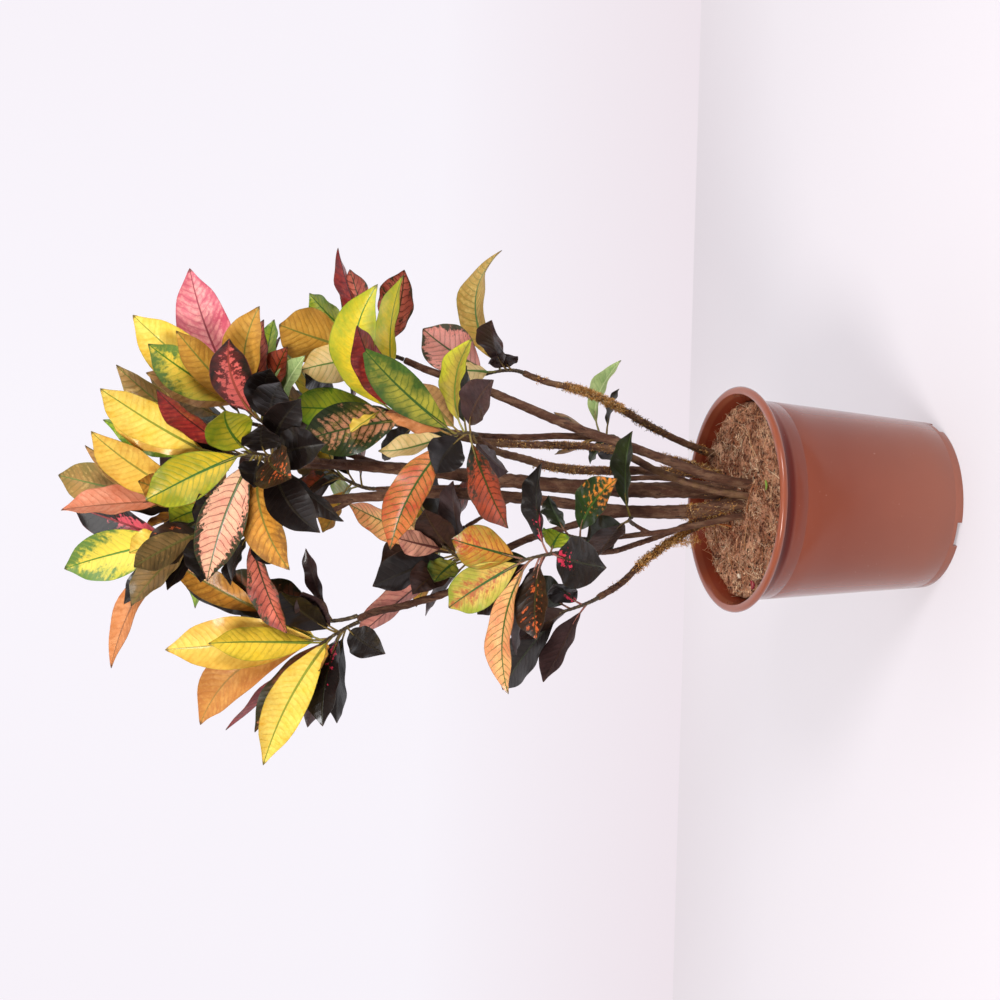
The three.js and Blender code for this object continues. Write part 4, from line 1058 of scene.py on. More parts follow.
@dataclass(frozen=True)
class LeafSkin:
    """Leaf blades with a strong midrib, side veins, washes, blotches and a net.

    Attributes:
        spacing: distance between side veins, in millimetres.
        slant: how far a side vein goes along the leaf for each millimetre across.
        bow: how much more it does so towards the margin.
        burnt: colour of the very tip.
    """

    spacing: float = 8.5
    slant: float = 0.5
    bow: float = 0.016
    burnt: str = "3c2618"

    def material(self) -> bpy.types.Material:
        """Makes the material."""
        shader = Shader("leaf")
        along, across, seed = shader.parts(shader.attribute("leaf_place"))
        share, lateral, upper = shader.parts(shader.attribute("leaf_share"))
        washed, spread, soft = shader.parts(shader.attribute("leaf_wash_style"))
        patches, margin, tip = shader.parts(shader.attribute("leaf_patch_style"))
        halo, lines, gloss = shader.parts(shader.attribute("leaf_vein_style"))
        # The place on the blade: out from the midrib in millimetres, and wide as a share
        out = across.size()
        side = across.joined("SIGN", across)
        wide = lateral.size()
        flat = shader.vector(along, across, seed * 40)
        large = shader.noise(flat, 0.035, 3)
        middle = shader.noise(flat, 0.11, 2)
        warp = shader.noise(flat, 0.09, 2) - 0.5
        # The side veins: near is 0 between two of them and 1 on one
        place = (along - out * self.slant - out * out * self.bow) / self.spacing
        place = place + side * 0.31 + seed * 9 + warp * 0.7
        near = (place.part() - 0.5).size() * 2
        vein = near.above(0.97 - lines * 0.1, 0.08) * (1 - wide ** 3 * 0.7)
        glow = near ** 3 * (0.4 + middle * 1.1) + (1 - out.above(1.5, 6)) * 0.7
        # The wash and the blotches
        lean = ((wide - 0.5) * 0.8 + (share - 0.5) * 0.6) * spread
        fade = (lean + (large - 0.5) * 1.7 + (middle - 0.5) * 0.9).above(0.5 - washed, 0.85)
        blots = shader.noise(flat, 0.24, 4, 0.6)
        streaks = shader.noise(shader.vector(place * 0.8, out / 11 + side * 7, seed * 37), 1.0, 3, 0.6)
        cloud = blots * 0.45 + streaks * 0.55 + (0.5 - near) * 0.06
        cloud = cloud + (wide ** 1.5 - 0.45) * margin * 0.5 + (share - 0.5) * tip * 0.5
        patch = cloud.above((0.5 - patches) * 0.5 + 0.5 - soft * 0.3, soft)
        # The net, the midrib, the margin and the tip
        cells = shader.node("ShaderNodeTexVoronoi", {"feature": "DISTANCE_TO_EDGE"},
                            {"Vector": flat, "Scale": 0.42})
        mesh = 1 - cells.above(0.05, 0.07)
        rib = 1 - out.above((1 - share) * 1.4 + 0.45, 0.5)
        edge = wide.above(0.965, 0.03)
        tips = share.above(0.975, 0.02)
        # The colours, from the ground up, and then the relief
        dark = shader.attribute("leaf_vein")
        body = shader.mix(fade, shader.attribute("leaf_main"), shader.attribute("leaf_wash"))
        body = shader.mix(patch, body, shader.attribute("leaf_patch"))
        body = shader.mix(glow * halo * 0.8, body, dark)
        body = shader.mix(mesh * lines * 0.3, body, dark)
        body = shader.mix(vein * (lines * 0.9 + 0.1), body, dark)
        body = shader.mix(rib * 0.95 + edge * 0.4, body, shader.attribute("leaf_rib"))
        body = shader.mix(tips * 0.7, body, srgb(self.burnt))
        quilt = (1 - near ** 2) * (1 - wide ** 4)
        height = (quilt * 0.32 - vein * 0.1 - rib * 0.35) * (upper * 2 - 1) + large * 1.8 + middle * 0.35
        rough = gloss + 0.08 + (1 - upper) * 0.1 + (middle - 0.5) * 0.12
        return shader.finished(
            Base_Color=body, Roughness=rough, Normal=shader.bumped(height, 0.8),
            Specular_IOR_Level=0.2, Coat_Weight=(0.5 - gloss) * 2.1, Coat_Roughness=0.17)


@dataclass(frozen=True)
class Backdrop:
    """Paper of the studio's floor, which may glow with painted light and be painted darker at its seam.

    Attributes:
        name: the material's name.
        colour: its colour.
        glow: how much painted light it gives off, 0 to 1.
        seam: its painted shade at the seam behind the pot, if it has one.
        fade: how far from the seam that painted shade reaches, in metres.
    """

    name: str
    colour: str
    glow: float
    seam: str = ""
    fade: float = 0.55

    def material(self) -> bpy.types.Material:
        """Makes the material."""
        shader = Shader(self.name)
        place = shader.place()
        cloud = shader.noise(place, 1.5, 2)
        across, back, _ = shader.parts(place)
        # Painted shade: darker near the seam behind the pot, and a little towards the sides
        near = (1 - (back - Studio.seam_place).size().above(0, self.fade)) * 0.5
        light = srgb(self.colour)
        shade = srgb(self.seam or self.colour)
        tone = shader.mix(near * 0.9 + across.size() * 0.03, light, shade)
        own = 1 - self.glow
        body = shader.mix(near, tuple(c * own for c in light), tuple(c * own for c in shade))
        # The emission is painted light in the backdrop's own tone
        return shader.finished(
            Base_Color=shader.mix(cloud * 0.1, body, tuple(c * own * 0.9 for c in light)),
            Roughness=0.9, Specular_IOR_Level=0.1, Emission_Color=tone,
            Emission_Strength=self.glow)


@dataclass
class Pot:
    """Round nursery pot, spun from its profile.

    Attributes:
        finish: its plastic.
    """

    finish: PotPlastic = field(default_factory=PotPlastic)

    def outer(self, height: float) -> float:
        """Gives the outside's radius at a height below the shoulder."""
        slope = (POT_SHOULDER_RADIUS - POT_BASE_RADIUS) / POT_SHOULDER_HEIGHT
        return POT_BASE_RADIUS + slope * height

    def groove(self, height: float) -> list[tuple[float, float]]:
        """Draws a moulded line round the outside.

        Args:
            height: height of the line.

        Returns:
            Radius and height of the line's points.
        """
        half = LINE_WIDTH / 2
        steps = ((-half, 0), (-half * 0.3, LINE_DEPTH), (half * 0.3, LINE_DEPTH), (half, 0))
        return [(self.outer(height + up) - inward, height + up) for up, inward in steps]

    def profile(self) -> list[tuple[float, float]]:
        """Draws half of the pot's section, from the middle of its underside round to its floor."""
        middle = POT_HEIGHT - POT_LIP_THICKNESS / 2
        floor = POT_FLOOR_HEIGHT
        inside = POT_BASE_RADIUS - POT_FOOT_WIDTH
        return [
            (0, floor - POT_WALL / 2),
            (inside - 1, floor - POT_WALL / 2),
            (inside, 0.6),
            (inside + 0.6, 0),
            *[(POT_BASE_RADIUS - inward, up) for inward, up in FOOT_EDGE],
            *self.groove(FOOT_LINE_HEIGHT),
            *[(self.outer(height), height) for height in SIDE_HEIGHTS],
            *self.groove(SHOULDER_LINE_HEIGHT),
            *[(POT_SHOULDER_RADIUS + out, POT_SHOULDER_HEIGHT + up) for out, up in RIM_FLARE],
            *[(POT_LIP_RADIUS - inward, middle + up) for inward, up in LIP_ROLL],
            *[(POT_MOUTH_RADIUS - inward, POT_HEIGHT - down) for inward, down in MOUTH_SLOPE],
            (self.outer(POT_SHOULDER_HEIGHT) - POT_WALL, POT_SHOULDER_HEIGHT),
            (self.outer(floor) - POT_WALL, floor + POT_WALL / 2),
            (0, floor + POT_WALL / 2),
        ]

    def cutters(self) -> bpy.types.Object:
        """Makes the blocks and rods that cut the foot's notches and the floor's drains.

        Returns:
            All of them as one object.
        """
        made = []
        for k in range(NOTCH_COUNT):
            turn = math.radians(NOTCH_TURN + k * 360 / NOTCH_COUNT)
            away = (POT_BASE_RADIUS - POT_FOOT_WIDTH / 2) * MM
            deselected()
            bpy.ops.mesh.primitive_cube_add(
                size=1, location=(math.sin(turn) * away, -math.cos(turn) * away, 0),
                rotation=(0, 0, turn),
                scale=(NOTCH_WIDTH * MM, 3 * POT_FOOT_WIDTH * MM, 2 * NOTCH_HEIGHT * MM))
            made.append(bpy.context.object)
        for k in range(DRAIN_COUNT):
            turn = math.tau * (k + 0.5) / DRAIN_COUNT
            away = DRAIN_CIRCLE * MM
            deselected()
            bpy.ops.mesh.primitive_cylinder_add(
                vertices=32, radius=DRAIN_RADIUS * MM, depth=6 * POT_WALL * MM,
                location=(-math.sin(turn) * away, math.cos(turn) * away, POT_FLOOR_HEIGHT * MM))
            made.append(bpy.context.object)
        deselected()
        for cutter in made:
            cutter.select_set(True)
        bpy.context.view_layer.objects.active = made[0]
        bpy.ops.object.join()
        return bpy.context.object

    def build(self) -> bpy.types.Object:
        """Spins the profile, cuts the notches and drains, and dresses the pot.

        Returns:
            The pot.
        """
        points = [(radius * MM, 0, height * MM) for radius, height in self.profile()]
        pot = meshed("pot_body", points, [], [(k, k + 1) for k in range(len(points) - 1)])
        bpy.ops.object.mode_set(mode="EDIT")
        bpy.ops.mesh.select_all(action="SELECT")
        bpy.ops.mesh.spin(steps=POT_STEPS, angle=math.tau, center=(0, 0, 0), axis=(0, 0, 1))
        bpy.ops.mesh.select_all(action="SELECT")
        bpy.ops.mesh.remove_doubles(threshold=0.02 * MM)
        bpy.ops.mesh.normals_make_consistent(inside=False)
        bpy.ops.object.mode_set(mode="OBJECT")
        cutter = self.cutters()
        modified(pot, "BOOLEAN", operation="DIFFERENCE", object=cutter, solver="EXACT")
        bpy.data.objects.remove(cutter)
        chosen(pot)
        bpy.ops.object.shade_smooth_by_angle(angle=math.radians(35))
        pot.data.materials.clear()
        pot.data.materials.append(self.finish.material())
        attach(pot, "root")
        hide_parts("pot")
        return pot


def soil_height(x: float, y: float) -> float:
    """Gives the soil's height at a place, all in millimetres.

    Args:
        x: how far right.
        y: how far back.

    Returns:
        How far up.
    """
    away = math.hypot(x - SOIL_HEAP_CENTRE[0], y - SOIL_HEAP_CENTRE[1])
    heap = SOIL_HEAP * math.exp(-((away / SOIL_HEAP_SPREAD) ** 2))
    lumps = noise.noise((x / 19, y / 19, 3.1)) * 3.2 + noise.noise((x / 7, y / 7, 7.7)) * 2.0
    crumbs = noise.noise((x / 2.6, y / 2.6, 1.3)) * 1.0
    return SOIL_LEVEL + heap + lumps + crumbs


@dataclass
class Soil:
    """Potting soil that fills the pot.

    Attributes:
        finish: its material.
        cells: how many squares its top has each way.
        rim_drop: how far it sinks at the wall, in millimetres.
        rim_from: where it starts to sink, as a share of the way out to the wall.
        collar: how far its side goes straight down, in metres, before it narrows like the pot.
        foot: height of its underside, in metres.
    """

    finish: PottingSoil = field(default_factory=PottingSoil)
    cells: int = 150
    rim_drop: float = 3.0
    rim_from: float = 0.93
    collar: float = 0.016
    foot: float = 0.0102

    def build(self) -> bpy.types.Object:
        """Makes the heaped top, then closes it down to the pot's floor.

        Returns:
            The soil.
        """
        deselected()
        bpy.ops.mesh.primitive_grid_add(x_subdivisions=self.cells, y_subdivisions=self.cells, size=2)
        soil = bpy.context.object
        soil.name = soil.data.name = "soil_fill"
        places = corners(soil.data)
        for row in places:
            row[:] = self.top(row[0], row[1])
        moved(soil.data, places)
        bpy.ops.object.mode_set(mode="EDIT")
        bpy.ops.mesh.select_all(action="SELECT")
        bpy.ops.mesh.region_to_loop()
        # The second side goes too far down, and is flattened at the soil's foot below
        for drop in (self.collar, SOIL_LEVEL * MM):
            bpy.ops.mesh.extrude_edges_move(TRANSFORM_OT_translate={"value": (0, 0, -drop)})
        ratio = (POT_BASE_RADIUS - POT_WALL - 1) / SOIL_RADIUS
        bpy.ops.transform.resize(value=(ratio, ratio, 1), center_override=(0, 0, 0))
        bpy.ops.transform.resize(value=(1, 1, 0), center_override=(0, 0, self.foot))
        bpy.ops.mesh.edge_face_add()
        bpy.ops.mesh.select_all(action="SELECT")
        bpy.ops.mesh.normals_make_consistent(inside=False)
        bpy.ops.object.mode_set(mode="OBJECT")
        bpy.ops.object.shade_smooth_by_angle(angle=math.radians(60))
        soil.data.materials.append(self.finish.material())
        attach(soil, "root")
        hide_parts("soil")
        return soil

    def top(self, x: float, y: float) -> tuple[float, float, float]:
        """Moves a point of the square top onto the round one.

        Args:
            x: how far right on the square, from -1 to 1.
            y: how far back on the square, from -1 to 1.

        Returns:
            The point's place, in metres.
        """
        reach = max(abs(x), abs(y))
        if reach == 0:
            return 0.0, 0.0, soil_height(0, 0) * MM
        wide = abs(x) >= abs(y)
        turn = math.pi / 4 * (y / x if wide else x / y)
        straight = (math.cos(turn), math.sin(turn)) if wide else (math.sin(turn), math.cos(turn))
        sign = math.copysign(1, x if wide else y)
        right = straight[0] * sign * reach * SOIL_RADIUS
        back = straight[1] * sign * reach * SOIL_RADIUS
        drop = self.rim_drop * max(0.0, reach - self.rim_from) / (1 - self.rim_from)
        return right * MM, back * MM, (soil_height(right, back) - drop) * MM


@dataclass
class Fibre:
    """One thin strand that lies, stands or hangs.

    Attributes:
        start: where it starts, in millimetres.
        way: its first direction.
        length: its length, in millimetres.
        radius: its radius at the start, in millimetres.
        curl: how quickly it turns, in radians for each step.
        steps: how many straight steps it is drawn in.
        fall: how strongly it bends downwards.
    """

    start: Vector
    way: Vector
    length: float
    radius: float
    curl: float
    steps: int = 7
    fall: float = 0.0

    def run(self, dice: random.Random) -> np.ndarray:
        """Draws the strand.

        Args:
            dice: the source of chance.

        Returns:
            Its points in metres, each with a radius.
        """
        place = self.start.copy()
        way = self.way.normalized()
        turner = Vector((dice.gauss(0, 1), dice.gauss(0, 1), dice.gauss(0, 1))).normalized()
        rows = []
        for k in range(self.steps + 1):
            slim = self.radius * (1 - 0.7 * k / self.steps)
            rows.append((place.x * MM, place.y * MM, place.z * MM, slim * MM))
            bend = Matrix.Rotation(self.curl * dice.uniform(0.4, 1.3), 3, turner)
            way = (bend @ way + Vector((0, 0, -self.fall))).normalized()
            place = place + way * self.length / self.steps
        return np.array(rows)


def strand_piece(name: str, runs: list[np.ndarray], colours: list[str], finish: Strands) -> bpy.types.Object:
    """Makes one piece of many thin strands.

    Args:
        name: the piece's name.
        runs: the strands' points and radii.
        colours: one web colour for each strand.
        finish: the material, which reads the colours.

    Returns:
        The piece.
    """
    places, faces, counts = laid(runs, 3)
    piece = meshed(name, places.tolist(), faces)
    shades = np.array([srgb(code) for code in colours])
    marked(piece.data, "strand_colour", np.repeat(shades, counts, axis=0))
    bpy.ops.object.shade_smooth()
    piece.data.materials.append(finish.material())
    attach(piece, "root")
    return piece


@dataclass
class Litter:
    """Coir fibres that lie on the soil.

    Attributes:
        fibres: how many there are.
        reach: how far from the pot's axis they start, in millimetres.
        wall: how far from it they end at most, in millimetres.
        sunk: how far a fibre may sink into the soil, in millimetres.
        dusty: their colours where the soil is dry.
        damp: their colours elsewhere.
    """

    fibres: int = 5600
    reach: float = 113
    wall: float = 116
    sunk: float = 0.2
    dusty: tuple[str, ...] = ("ecc8a4", "dcae88", "c48e6a", "f4dcb8", "b27c58", "e2bc94")
    damp: tuple[str, ...] = ("c28058", "aa6643", "8b4930", "703a24", "d29c74", "562b1a", "a05e40", "e6ac80")

    def spot(self, dice: random.Random) -> Vector:
        """Picks a place on the soil, in millimetres."""
        reach = self.reach * math.sqrt(dice.random())
        turn = dice.uniform(0, math.tau)
        x = reach * math.cos(turn)
        y = reach * math.sin(turn)
        return Vector((x, y, soil_height(x, y)))

    def build(self) -> bpy.types.Object:
        """Scatters the fibres.

        Returns:
            The litter.
        """
        dice = random.Random(11)
        runs = []
        colours = []
        for _ in range(self.fibres):
            turn = dice.uniform(0, math.tau)
            way = Vector((math.cos(turn), math.sin(turn), dice.uniform(0.0, 0.5)))
            start = self.spot(dice) + Vector((0, 0, dice.uniform(-0.4, 0.5)))
            fibre = Fibre(start, way, 4 + 17 * dice.random() ** 2, 0.14 + 0.36 * dice.random() ** 2,
                          dice.uniform(0.15, 0.8), 3, 0.15)
            runs.append(self.kept_up(fibre.run(dice)))
            dust = noise.noise(start / 24) + dice.gauss(0, 0.12) > 0.08
            colours.append(dice.choice(self.dusty if dust else self.damp))
        litter = strand_piece("litter", runs, colours, Strands("litter"))
        return litter

    def kept_up(self, run: np.ndarray) -> np.ndarray:
        """Keeps a fibre on the soil and inside the pot's wall.

        Args:
            run: its points and radii.

        Returns:
            The same, with no point far under the soil or in the wall.
        """
        for row in run:
            reach = math.hypot(row[0], row[1]) / (self.wall * MM)
            if reach > 1:
                row[0] /= reach
                row[1] /= reach
            ground = soil_height(row[0] / MM, row[1] / MM) * MM
            row[2] = max(row[2], ground - self.sunk * MM)
        return run


@dataclass
class Crumbs:
    """Small crumbs and chips that lie on the soil.

    Attributes:
        count: how many there are.
        colours: their colours.
    """

    count: int = 2000
    colours: tuple[str, ...] = ("6e4a36", "94684c", "4a2c20", "b08664", "2c1a12", "d2ab88", "3c2318")

    def build(self) -> bpy.types.Object:
        """Scatters copies of one lump.

        Returns:
            The crumbs.
        """
        dice = random.Random(23)
        deselected()
        bpy.ops.mesh.primitive_ico_sphere_add(subdivisions=1, radius=1)
        crumb = bpy.context.object
        shape = corners(crumb.data)
        faces = np.array([list(face.vertices) for face in crumb.data.polygons])
        bpy.data.objects.remove(crumb)
        litter = Litter()
        places = []
        loops = []
        shades = []
        for k in range(self.count):
            size = 0.35 + 1.5 * dice.random() ** 2.5
            spread = np.array([dice.uniform(0.7, 1.7), dice.uniform(0.7, 1.2), dice.uniform(0.5, 0.9)])
            turn = np.array(Matrix.Rotation(dice.uniform(0, math.tau), 3, "Z"))
            lump = shape * (1 + 0.25 * np.array([[dice.uniform(-1, 1)] for _ in shape])) * spread * size
            spot = litter.spot(dice)
            places.append((lump @ turn.T + np.array(spot) + [0, 0, size * 0.15]) * MM)
            loops.append(faces + k * len(shape))
            shades.append(np.tile(srgb(dice.choice(self.colours)), (len(shape), 1)))
        crumbs = meshed("crumbs", np.vstack(places).tolist(), np.vstack(loops).tolist())
        marked(crumbs.data, "strand_colour", np.vstack(shades))
        crumbs.data.materials.append(Strands("crumbs", 0.95).material())
        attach(crumbs, "root")
        return crumbs


@dataclass
class Flake:
    """A chip or a bit of leaf that lies on the soil.

    Attributes:
        name: the piece's name.
        place: how far right and back it lies, in millimetres.
        size: its length, width and thickness, in millimetres.
        turn: the way it points, in degrees from the right.
        curl: how far its ends rise, in millimetres.
        colour: its colour.
    """

    name: str
    place: tuple[float, float]
    size: tuple[float, float, float]
    turn: float
    curl: float
    colour: str

    def build(self) -> bpy.types.Object:
        """Bends a thin plate with a pointed outline.

        Returns:
            The flake.
        """
        deselected()
        bpy.ops.mesh.primitive_grid_add(x_subdivisions=12, y_subdivisions=6, size=2)
        flake = bpy.context.object
        flake.name = flake.data.name = self.name
        modified(flake, "SOLIDIFY", thickness=0.2, offset=0)
        places = corners(flake.data)
        length, width, thickness = self.size
        way = math.radians(self.turn)
        x, y = self.place
        ground = soil_height(x, y) + 1.6
        for row in places:
            along, across = row[0], row[1]
            half = width / 2 * math.sqrt(max(0.02, 1 - along * along))
            right = along * length / 2
            back = across * half
            up = ground + self.curl * along * along + 0.3 * self.curl * across * across
            up += thickness / 2 * (1 if row[2] > 0 else -1)
            row[:] = (x + right * math.cos(way) - back * math.sin(way),
                      y + right * math.sin(way) + back * math.cos(way), up)
        moved(flake.data, places * MM)
        shade = np.tile(srgb(self.colour), (len(places), 1))
        marked(flake.data, "strand_colour", shade)
        bpy.ops.object.shade_smooth_by_angle(angle=math.radians(40))
        flake.data.materials.append(Strands(self.name, 0.6).material())
        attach(flake, "root")
        return flake


FLAKES = (
    Flake("red_chip", (-100.7, -34.6), (11, 8, 1.2), 20, 1.5, "8c2430"),
    Flake("green_leaf_bit", (17.7, -64.9), (12, 4.5, 0.6), 10, 1.0, "7f9a3c"),
    Flake("pale_crumb", (-91.5, 5), (7, 5, 2.0), 60, 0.4, "d8c4ac"),
)


@dataclass
class Twigs:
    """A few twigs, straws and root ends on the soil.

    Attributes:
        rows: each twig's first and last point, its radius and its colour, in millimetres.
    """

    rows: tuple = (
        ((-33.2, 26.0, 243), (-31, 20, 262), 1.5, "c8743c"),
        ((-35.8, 31.5, 243), (-29, 35, 266), 0.7, "d8b070"),
        ((-15.7, -20.6, 246), (20, -40.3, 247), 0.9, "9a5f3c"),
        ((-60, -12, 244), (-28, -24, 246), 0.8, "b98a60"),
        ((-82, 20, 243), (-58, 34, 246), 0.7, "a8714a"),
        ((52, -30, 243), (84, -18, 246), 0.7, "c49a70"),
        ((60, 30, 244), (92, 22, 245), 0.8, "8a5236"),
        ((-5, -80, 243), (34, -88, 244), 0.6, "caa27c"),
        ((-70, -62, 243), (-44, -70, 245), 0.7, "93603f"),
        ((-52, 66, 244), (-20, 80, 246), 0.7, "b08058"),
    )

    def build(self) -> bpy.types.Object:
        """Draws the twigs as bent rods.

        Returns:
            The twigs.
        """
        dice = random.Random(5)
        runs = []
        for start, end, radius, _ in self.rows:
            line = []
            for share in np.linspace(0, 1, 12):
                spot = Vector(start).lerp(Vector(end), share)
                sag = math.sin(math.pi * share) * dice.uniform(0.6, 1.4)
                slim = radius * (1 - 0.45 * share) * dice.uniform(0.85, 1.15)
                line.append((spot.x + sag, spot.y + sag * 0.6, spot.z + sag, slim))
            runs.append(np.array(line) * MM)
        twigs = strand_piece("twigs", runs, [row[3] for row in self.rows], Strands("twigs"))
        return twigs


@dataclass
class Wood:
    """One woody stem with its branches.

    Attributes:
        name: the stem's name in the tables.
        branches: its lines, each a list of right, back, up and radius in millimetres.
        cover: what grows on it.
        step: distance between the points of its lines, in millimetres.
        voxel: size of the cells that weld its branches together, in millimetres.
        slimness: how thin a thin branch is, as a share of the part's.
        fullness: how much more of its thickness a branch keeps for each millimetre of radius.
    """

    name: str
    branches: dict[str, tuple]
    cover: Cover
    step: float = 4.0
    voxel: float = 1.75
    slimness: float = 0.76
    fullness: float = 0.018

    def line(self, rows: tuple, first: bool) -> np.ndarray:
        """Draws one branch with its leaf scars and swellings.

        Args:
            rows: its points and radii, in millimetres.
            first: whether it is the stem itself, which goes on down into the soil.

        Returns:
            Its points in metres, each with a radius.
        """
        dice = random.Random(f"{self.name} {rows[0]}")
        table = [list(row) for row in rows]
        if first:
            x, y, z, radius = table[0]
            table.insert(0, [x, y, z - STEM_SOCKET_DEPTH * 0.6, radius])
        run = smooth_run([[value * MM for value in row] for row in table], self.step * MM)
        away = 0.0
        scar = dice.uniform(6, 14)
        for k, row in enumerate(run):
            if k:
                away += float(np.linalg.norm(run[k][:3] - run[k - 1][:3])) / MM
            swelling = math.exp(-((away - scar) / 2.6) ** 2)
            wobble = 0.05 * noise.noise((away / 17, scar, len(rows)))
            slim = min(1.0, self.slimness + self.fullness * row[3] / MM)
            row[3] *= slim * (1 + 0.1 * swelling + wobble)
            if away > scar + 5:
                scar += dice.uniform(11, 24)
        return run

    def build(self, barks: dict[Cover, bpy.types.Material]) -> bpy.types.Object:
        """Welds the branches into one skin.

        Args:
            barks: the material for each cover.

        Returns:
            The stem.
        """
        runs = [self.line(rows, key == "main") for key, rows in self.branches.items()]
        places, faces, _ = laid(runs, WOOD_SIDES)
        stem = meshed(f"wood_{self.name}", places.tolist(), faces)
        modified(stem, "REMESH", mode="VOXEL", voxel_size=self.voxel * MM)
        modified(stem, "SMOOTH", factor=0.5, iterations=3)
        self.roughened(stem)
        chosen(stem)
        bpy.ops.object.shade_smooth()
        stem.data.materials.append(barks[self.cover])
        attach(stem, "root")
        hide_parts(f"stem_{self.name}")
        return stem

    def roughened(self, stem: bpy.types.Object) -> None:
        """Raises ridges and warts on the skin.

        Args:
            stem: the stem's mesh object.
        """
        mesh = stem.data
        places = corners(mesh)
        ways = np.empty(len(mesh.vertices) * 3)
        mesh.vertices.foreach_get("normal", ways)
        ways = ways.reshape(-1, 3)
        lifts = np.array([
            0.28 * noise.noise((x * 310, y * 310, z * 60)) + 0.28 * noise.noise((x * 90, y * 90, z * 130))
            for x, y, z in places])
        moved(mesh, places + ways * lifts[:, None] * MM)


@dataclass
class Moss:
    """Curly moss on a stretch of a stem.

    Attributes:
        stem: the stem's name in the tables.
        low: height where it starts, in millimetres.
        high: height where it ends, in millimetres.
        strands: how many strands there are.
        reach: length of the longest strands, in millimetres.
        side: the direction, in degrees from the right, that most of it hangs on.
        dead: how much of it is dark and dead, 0 to 1.
        living: colours of the living strands.
        withered: colours of the dead ones.
    """

    stem: str
    low: float
    high: float
    strands: int
    reach: float
    side: float = -90.0
    dead: float = 0.0
    living: tuple[str, ...] = (
        "d89a4a", "eab870", "b87a3a", "965f2e", "f2d096", "c98a42", "a0703a", "dea860")
    withered: tuple[str, ...] = ("4e3c24", "2e2015", "745834", "3a2a1a", "8c6c40")

    def tones(self, dice: random.Random) -> list[str]:
        """Picks a colour for every strand.

        Args:
            dice: the source of chance.

        Returns:
            Their web colours.
        """
        return [dice.choice(self.withered if dice.random() < self.dead else self.living)
                for _ in range(self.strands)]

    def runs(self, dice: random.Random) -> list[np.ndarray]:
        """Draws the strands, which stand in tufts.

        Args:
            dice: the source of chance.

        Returns:
            Their points in metres, each with a radius.
        """
        rows = [[value * MM for value in row] for row in STEMS[self.stem]["main"]]
        line = [row / MM for row in smooth_run(rows, 1.5 * MM) if self.low <= row[2] / MM <= self.high]
        tufts = [(dice.choice(line), math.radians(self.side + dice.gauss(0, 100)))
                 for _ in range(max(3, self.strands // 7))]
        made = []
        for _ in range(self.strands):
            (x, y, z, radius), turn = dice.choice(tufts)
            turn += dice.gauss(0, 0.5)
            out = Vector((math.cos(turn), math.sin(turn), dice.uniform(-0.5, 0.5)))
            start = Vector((x, y, z)) + out.normalized() * radius * 0.85
            start.z += dice.gauss(0, 2.2)
            fibre = Fibre(start, out + Vector((0, 0, dice.uniform(-0.9, 0.6))),
                          self.reach * (0.35 + 0.65 * dice.random() ** 2), dice.uniform(0.3, 0.6),
                          dice.uniform(0.3, 1.2), 3, dice.uniform(0.0, 0.3))
            made.append(fibre.run(dice))
        return made


MOSS = (
    Moss("outer_left", 304, 382, 2500, 4.6, -80),
    Moss("outer_left", 382, 425, 90, 3.2),
    Moss("outer_left", 252, 300, 200, 6),
    Moss("outer_right", 388, 470, 2100, 4.6, -90, 0.12),
    Moss("outer_right", 318, 388, 620, 5, -120, 0.85),
    Moss("outer_right", 475, 510, 50, 4),
    Moss("outer_right", 250, 280, 120, 5, -120, 0.3),
    Moss("mossy_left", 250, 330, 500, 6),
    Moss("mossy_left", 380, 520, 900, 3, -90, 0.25),
    Moss("mossy_right", 400, 560, 900, 3, -90, 0.25),
    Moss("back_right", 250, 318, 700, 5.5, -40),
    Moss("left_front", 252, 300, 260, 5),
    Moss("thick_left", 256, 316, 700, 5, -35),
    Moss("thick_centre", 248, 290, 160, 5),
)


@dataclass
class MossyCover:
    """All the moss on the stems, and the clump that hangs beside the outer stem's foot.

    Attributes:
        clump: middle of the hanging clump, in millimetres.
        clump_size: its half sizes, in millimetres.
        clump_strands: how many strands it has.
    """

    clump: tuple[float, float, float] = (-50, 42, 296)
    clump_size: tuple[float, float, float] = (5, 5, 15)
    clump_strands: int = 170

    def build(self) -> list[bpy.types.Object]:
        """Makes one piece of moss for each stem that has any.

        Returns:
            The pieces.
        """
        pieces = []
        for stem in dict.fromkeys(patch.stem for patch in MOSS):
            dice = random.Random(stem)
            patches = [patch for patch in MOSS if patch.stem == stem]
            runs = [run for patch in patches for run in patch.runs(dice)]
            colours = [tone for patch in patches for tone in patch.tones(dice)]
            if stem == "outer_left":
                clump = self.clump_runs(dice)
                runs += clump
                colours += [dice.choice(Moss.living) for _ in clump]
            piece = strand_piece(f"moss_{stem}", runs, colours, Strands(f"moss_{stem}"))
            pieces.append(piece)
        return pieces

    def clump_runs(self, dice: random.Random) -> list[np.ndarray]:
        """Draws the hanging clump.

        Args:
            dice: the source of chance.

        Returns:
            Its strands' points in metres, each with a radius.
        """
        made = []
        for _ in range(self.clump_strands):
            start = Vector(self.clump)
            for axis, half in enumerate(self.clump_size):
                start[axis] += half * dice.uniform(-1, 1)
            way = Vector((dice.gauss(0, 1), dice.gauss(0, 1), dice.gauss(-0.2, 1)))
            made.append(Fibre(start, way, dice.uniform(7, 16), 0.32, dice.uniform(0.6, 1.2), 8).run(dice))
        return made


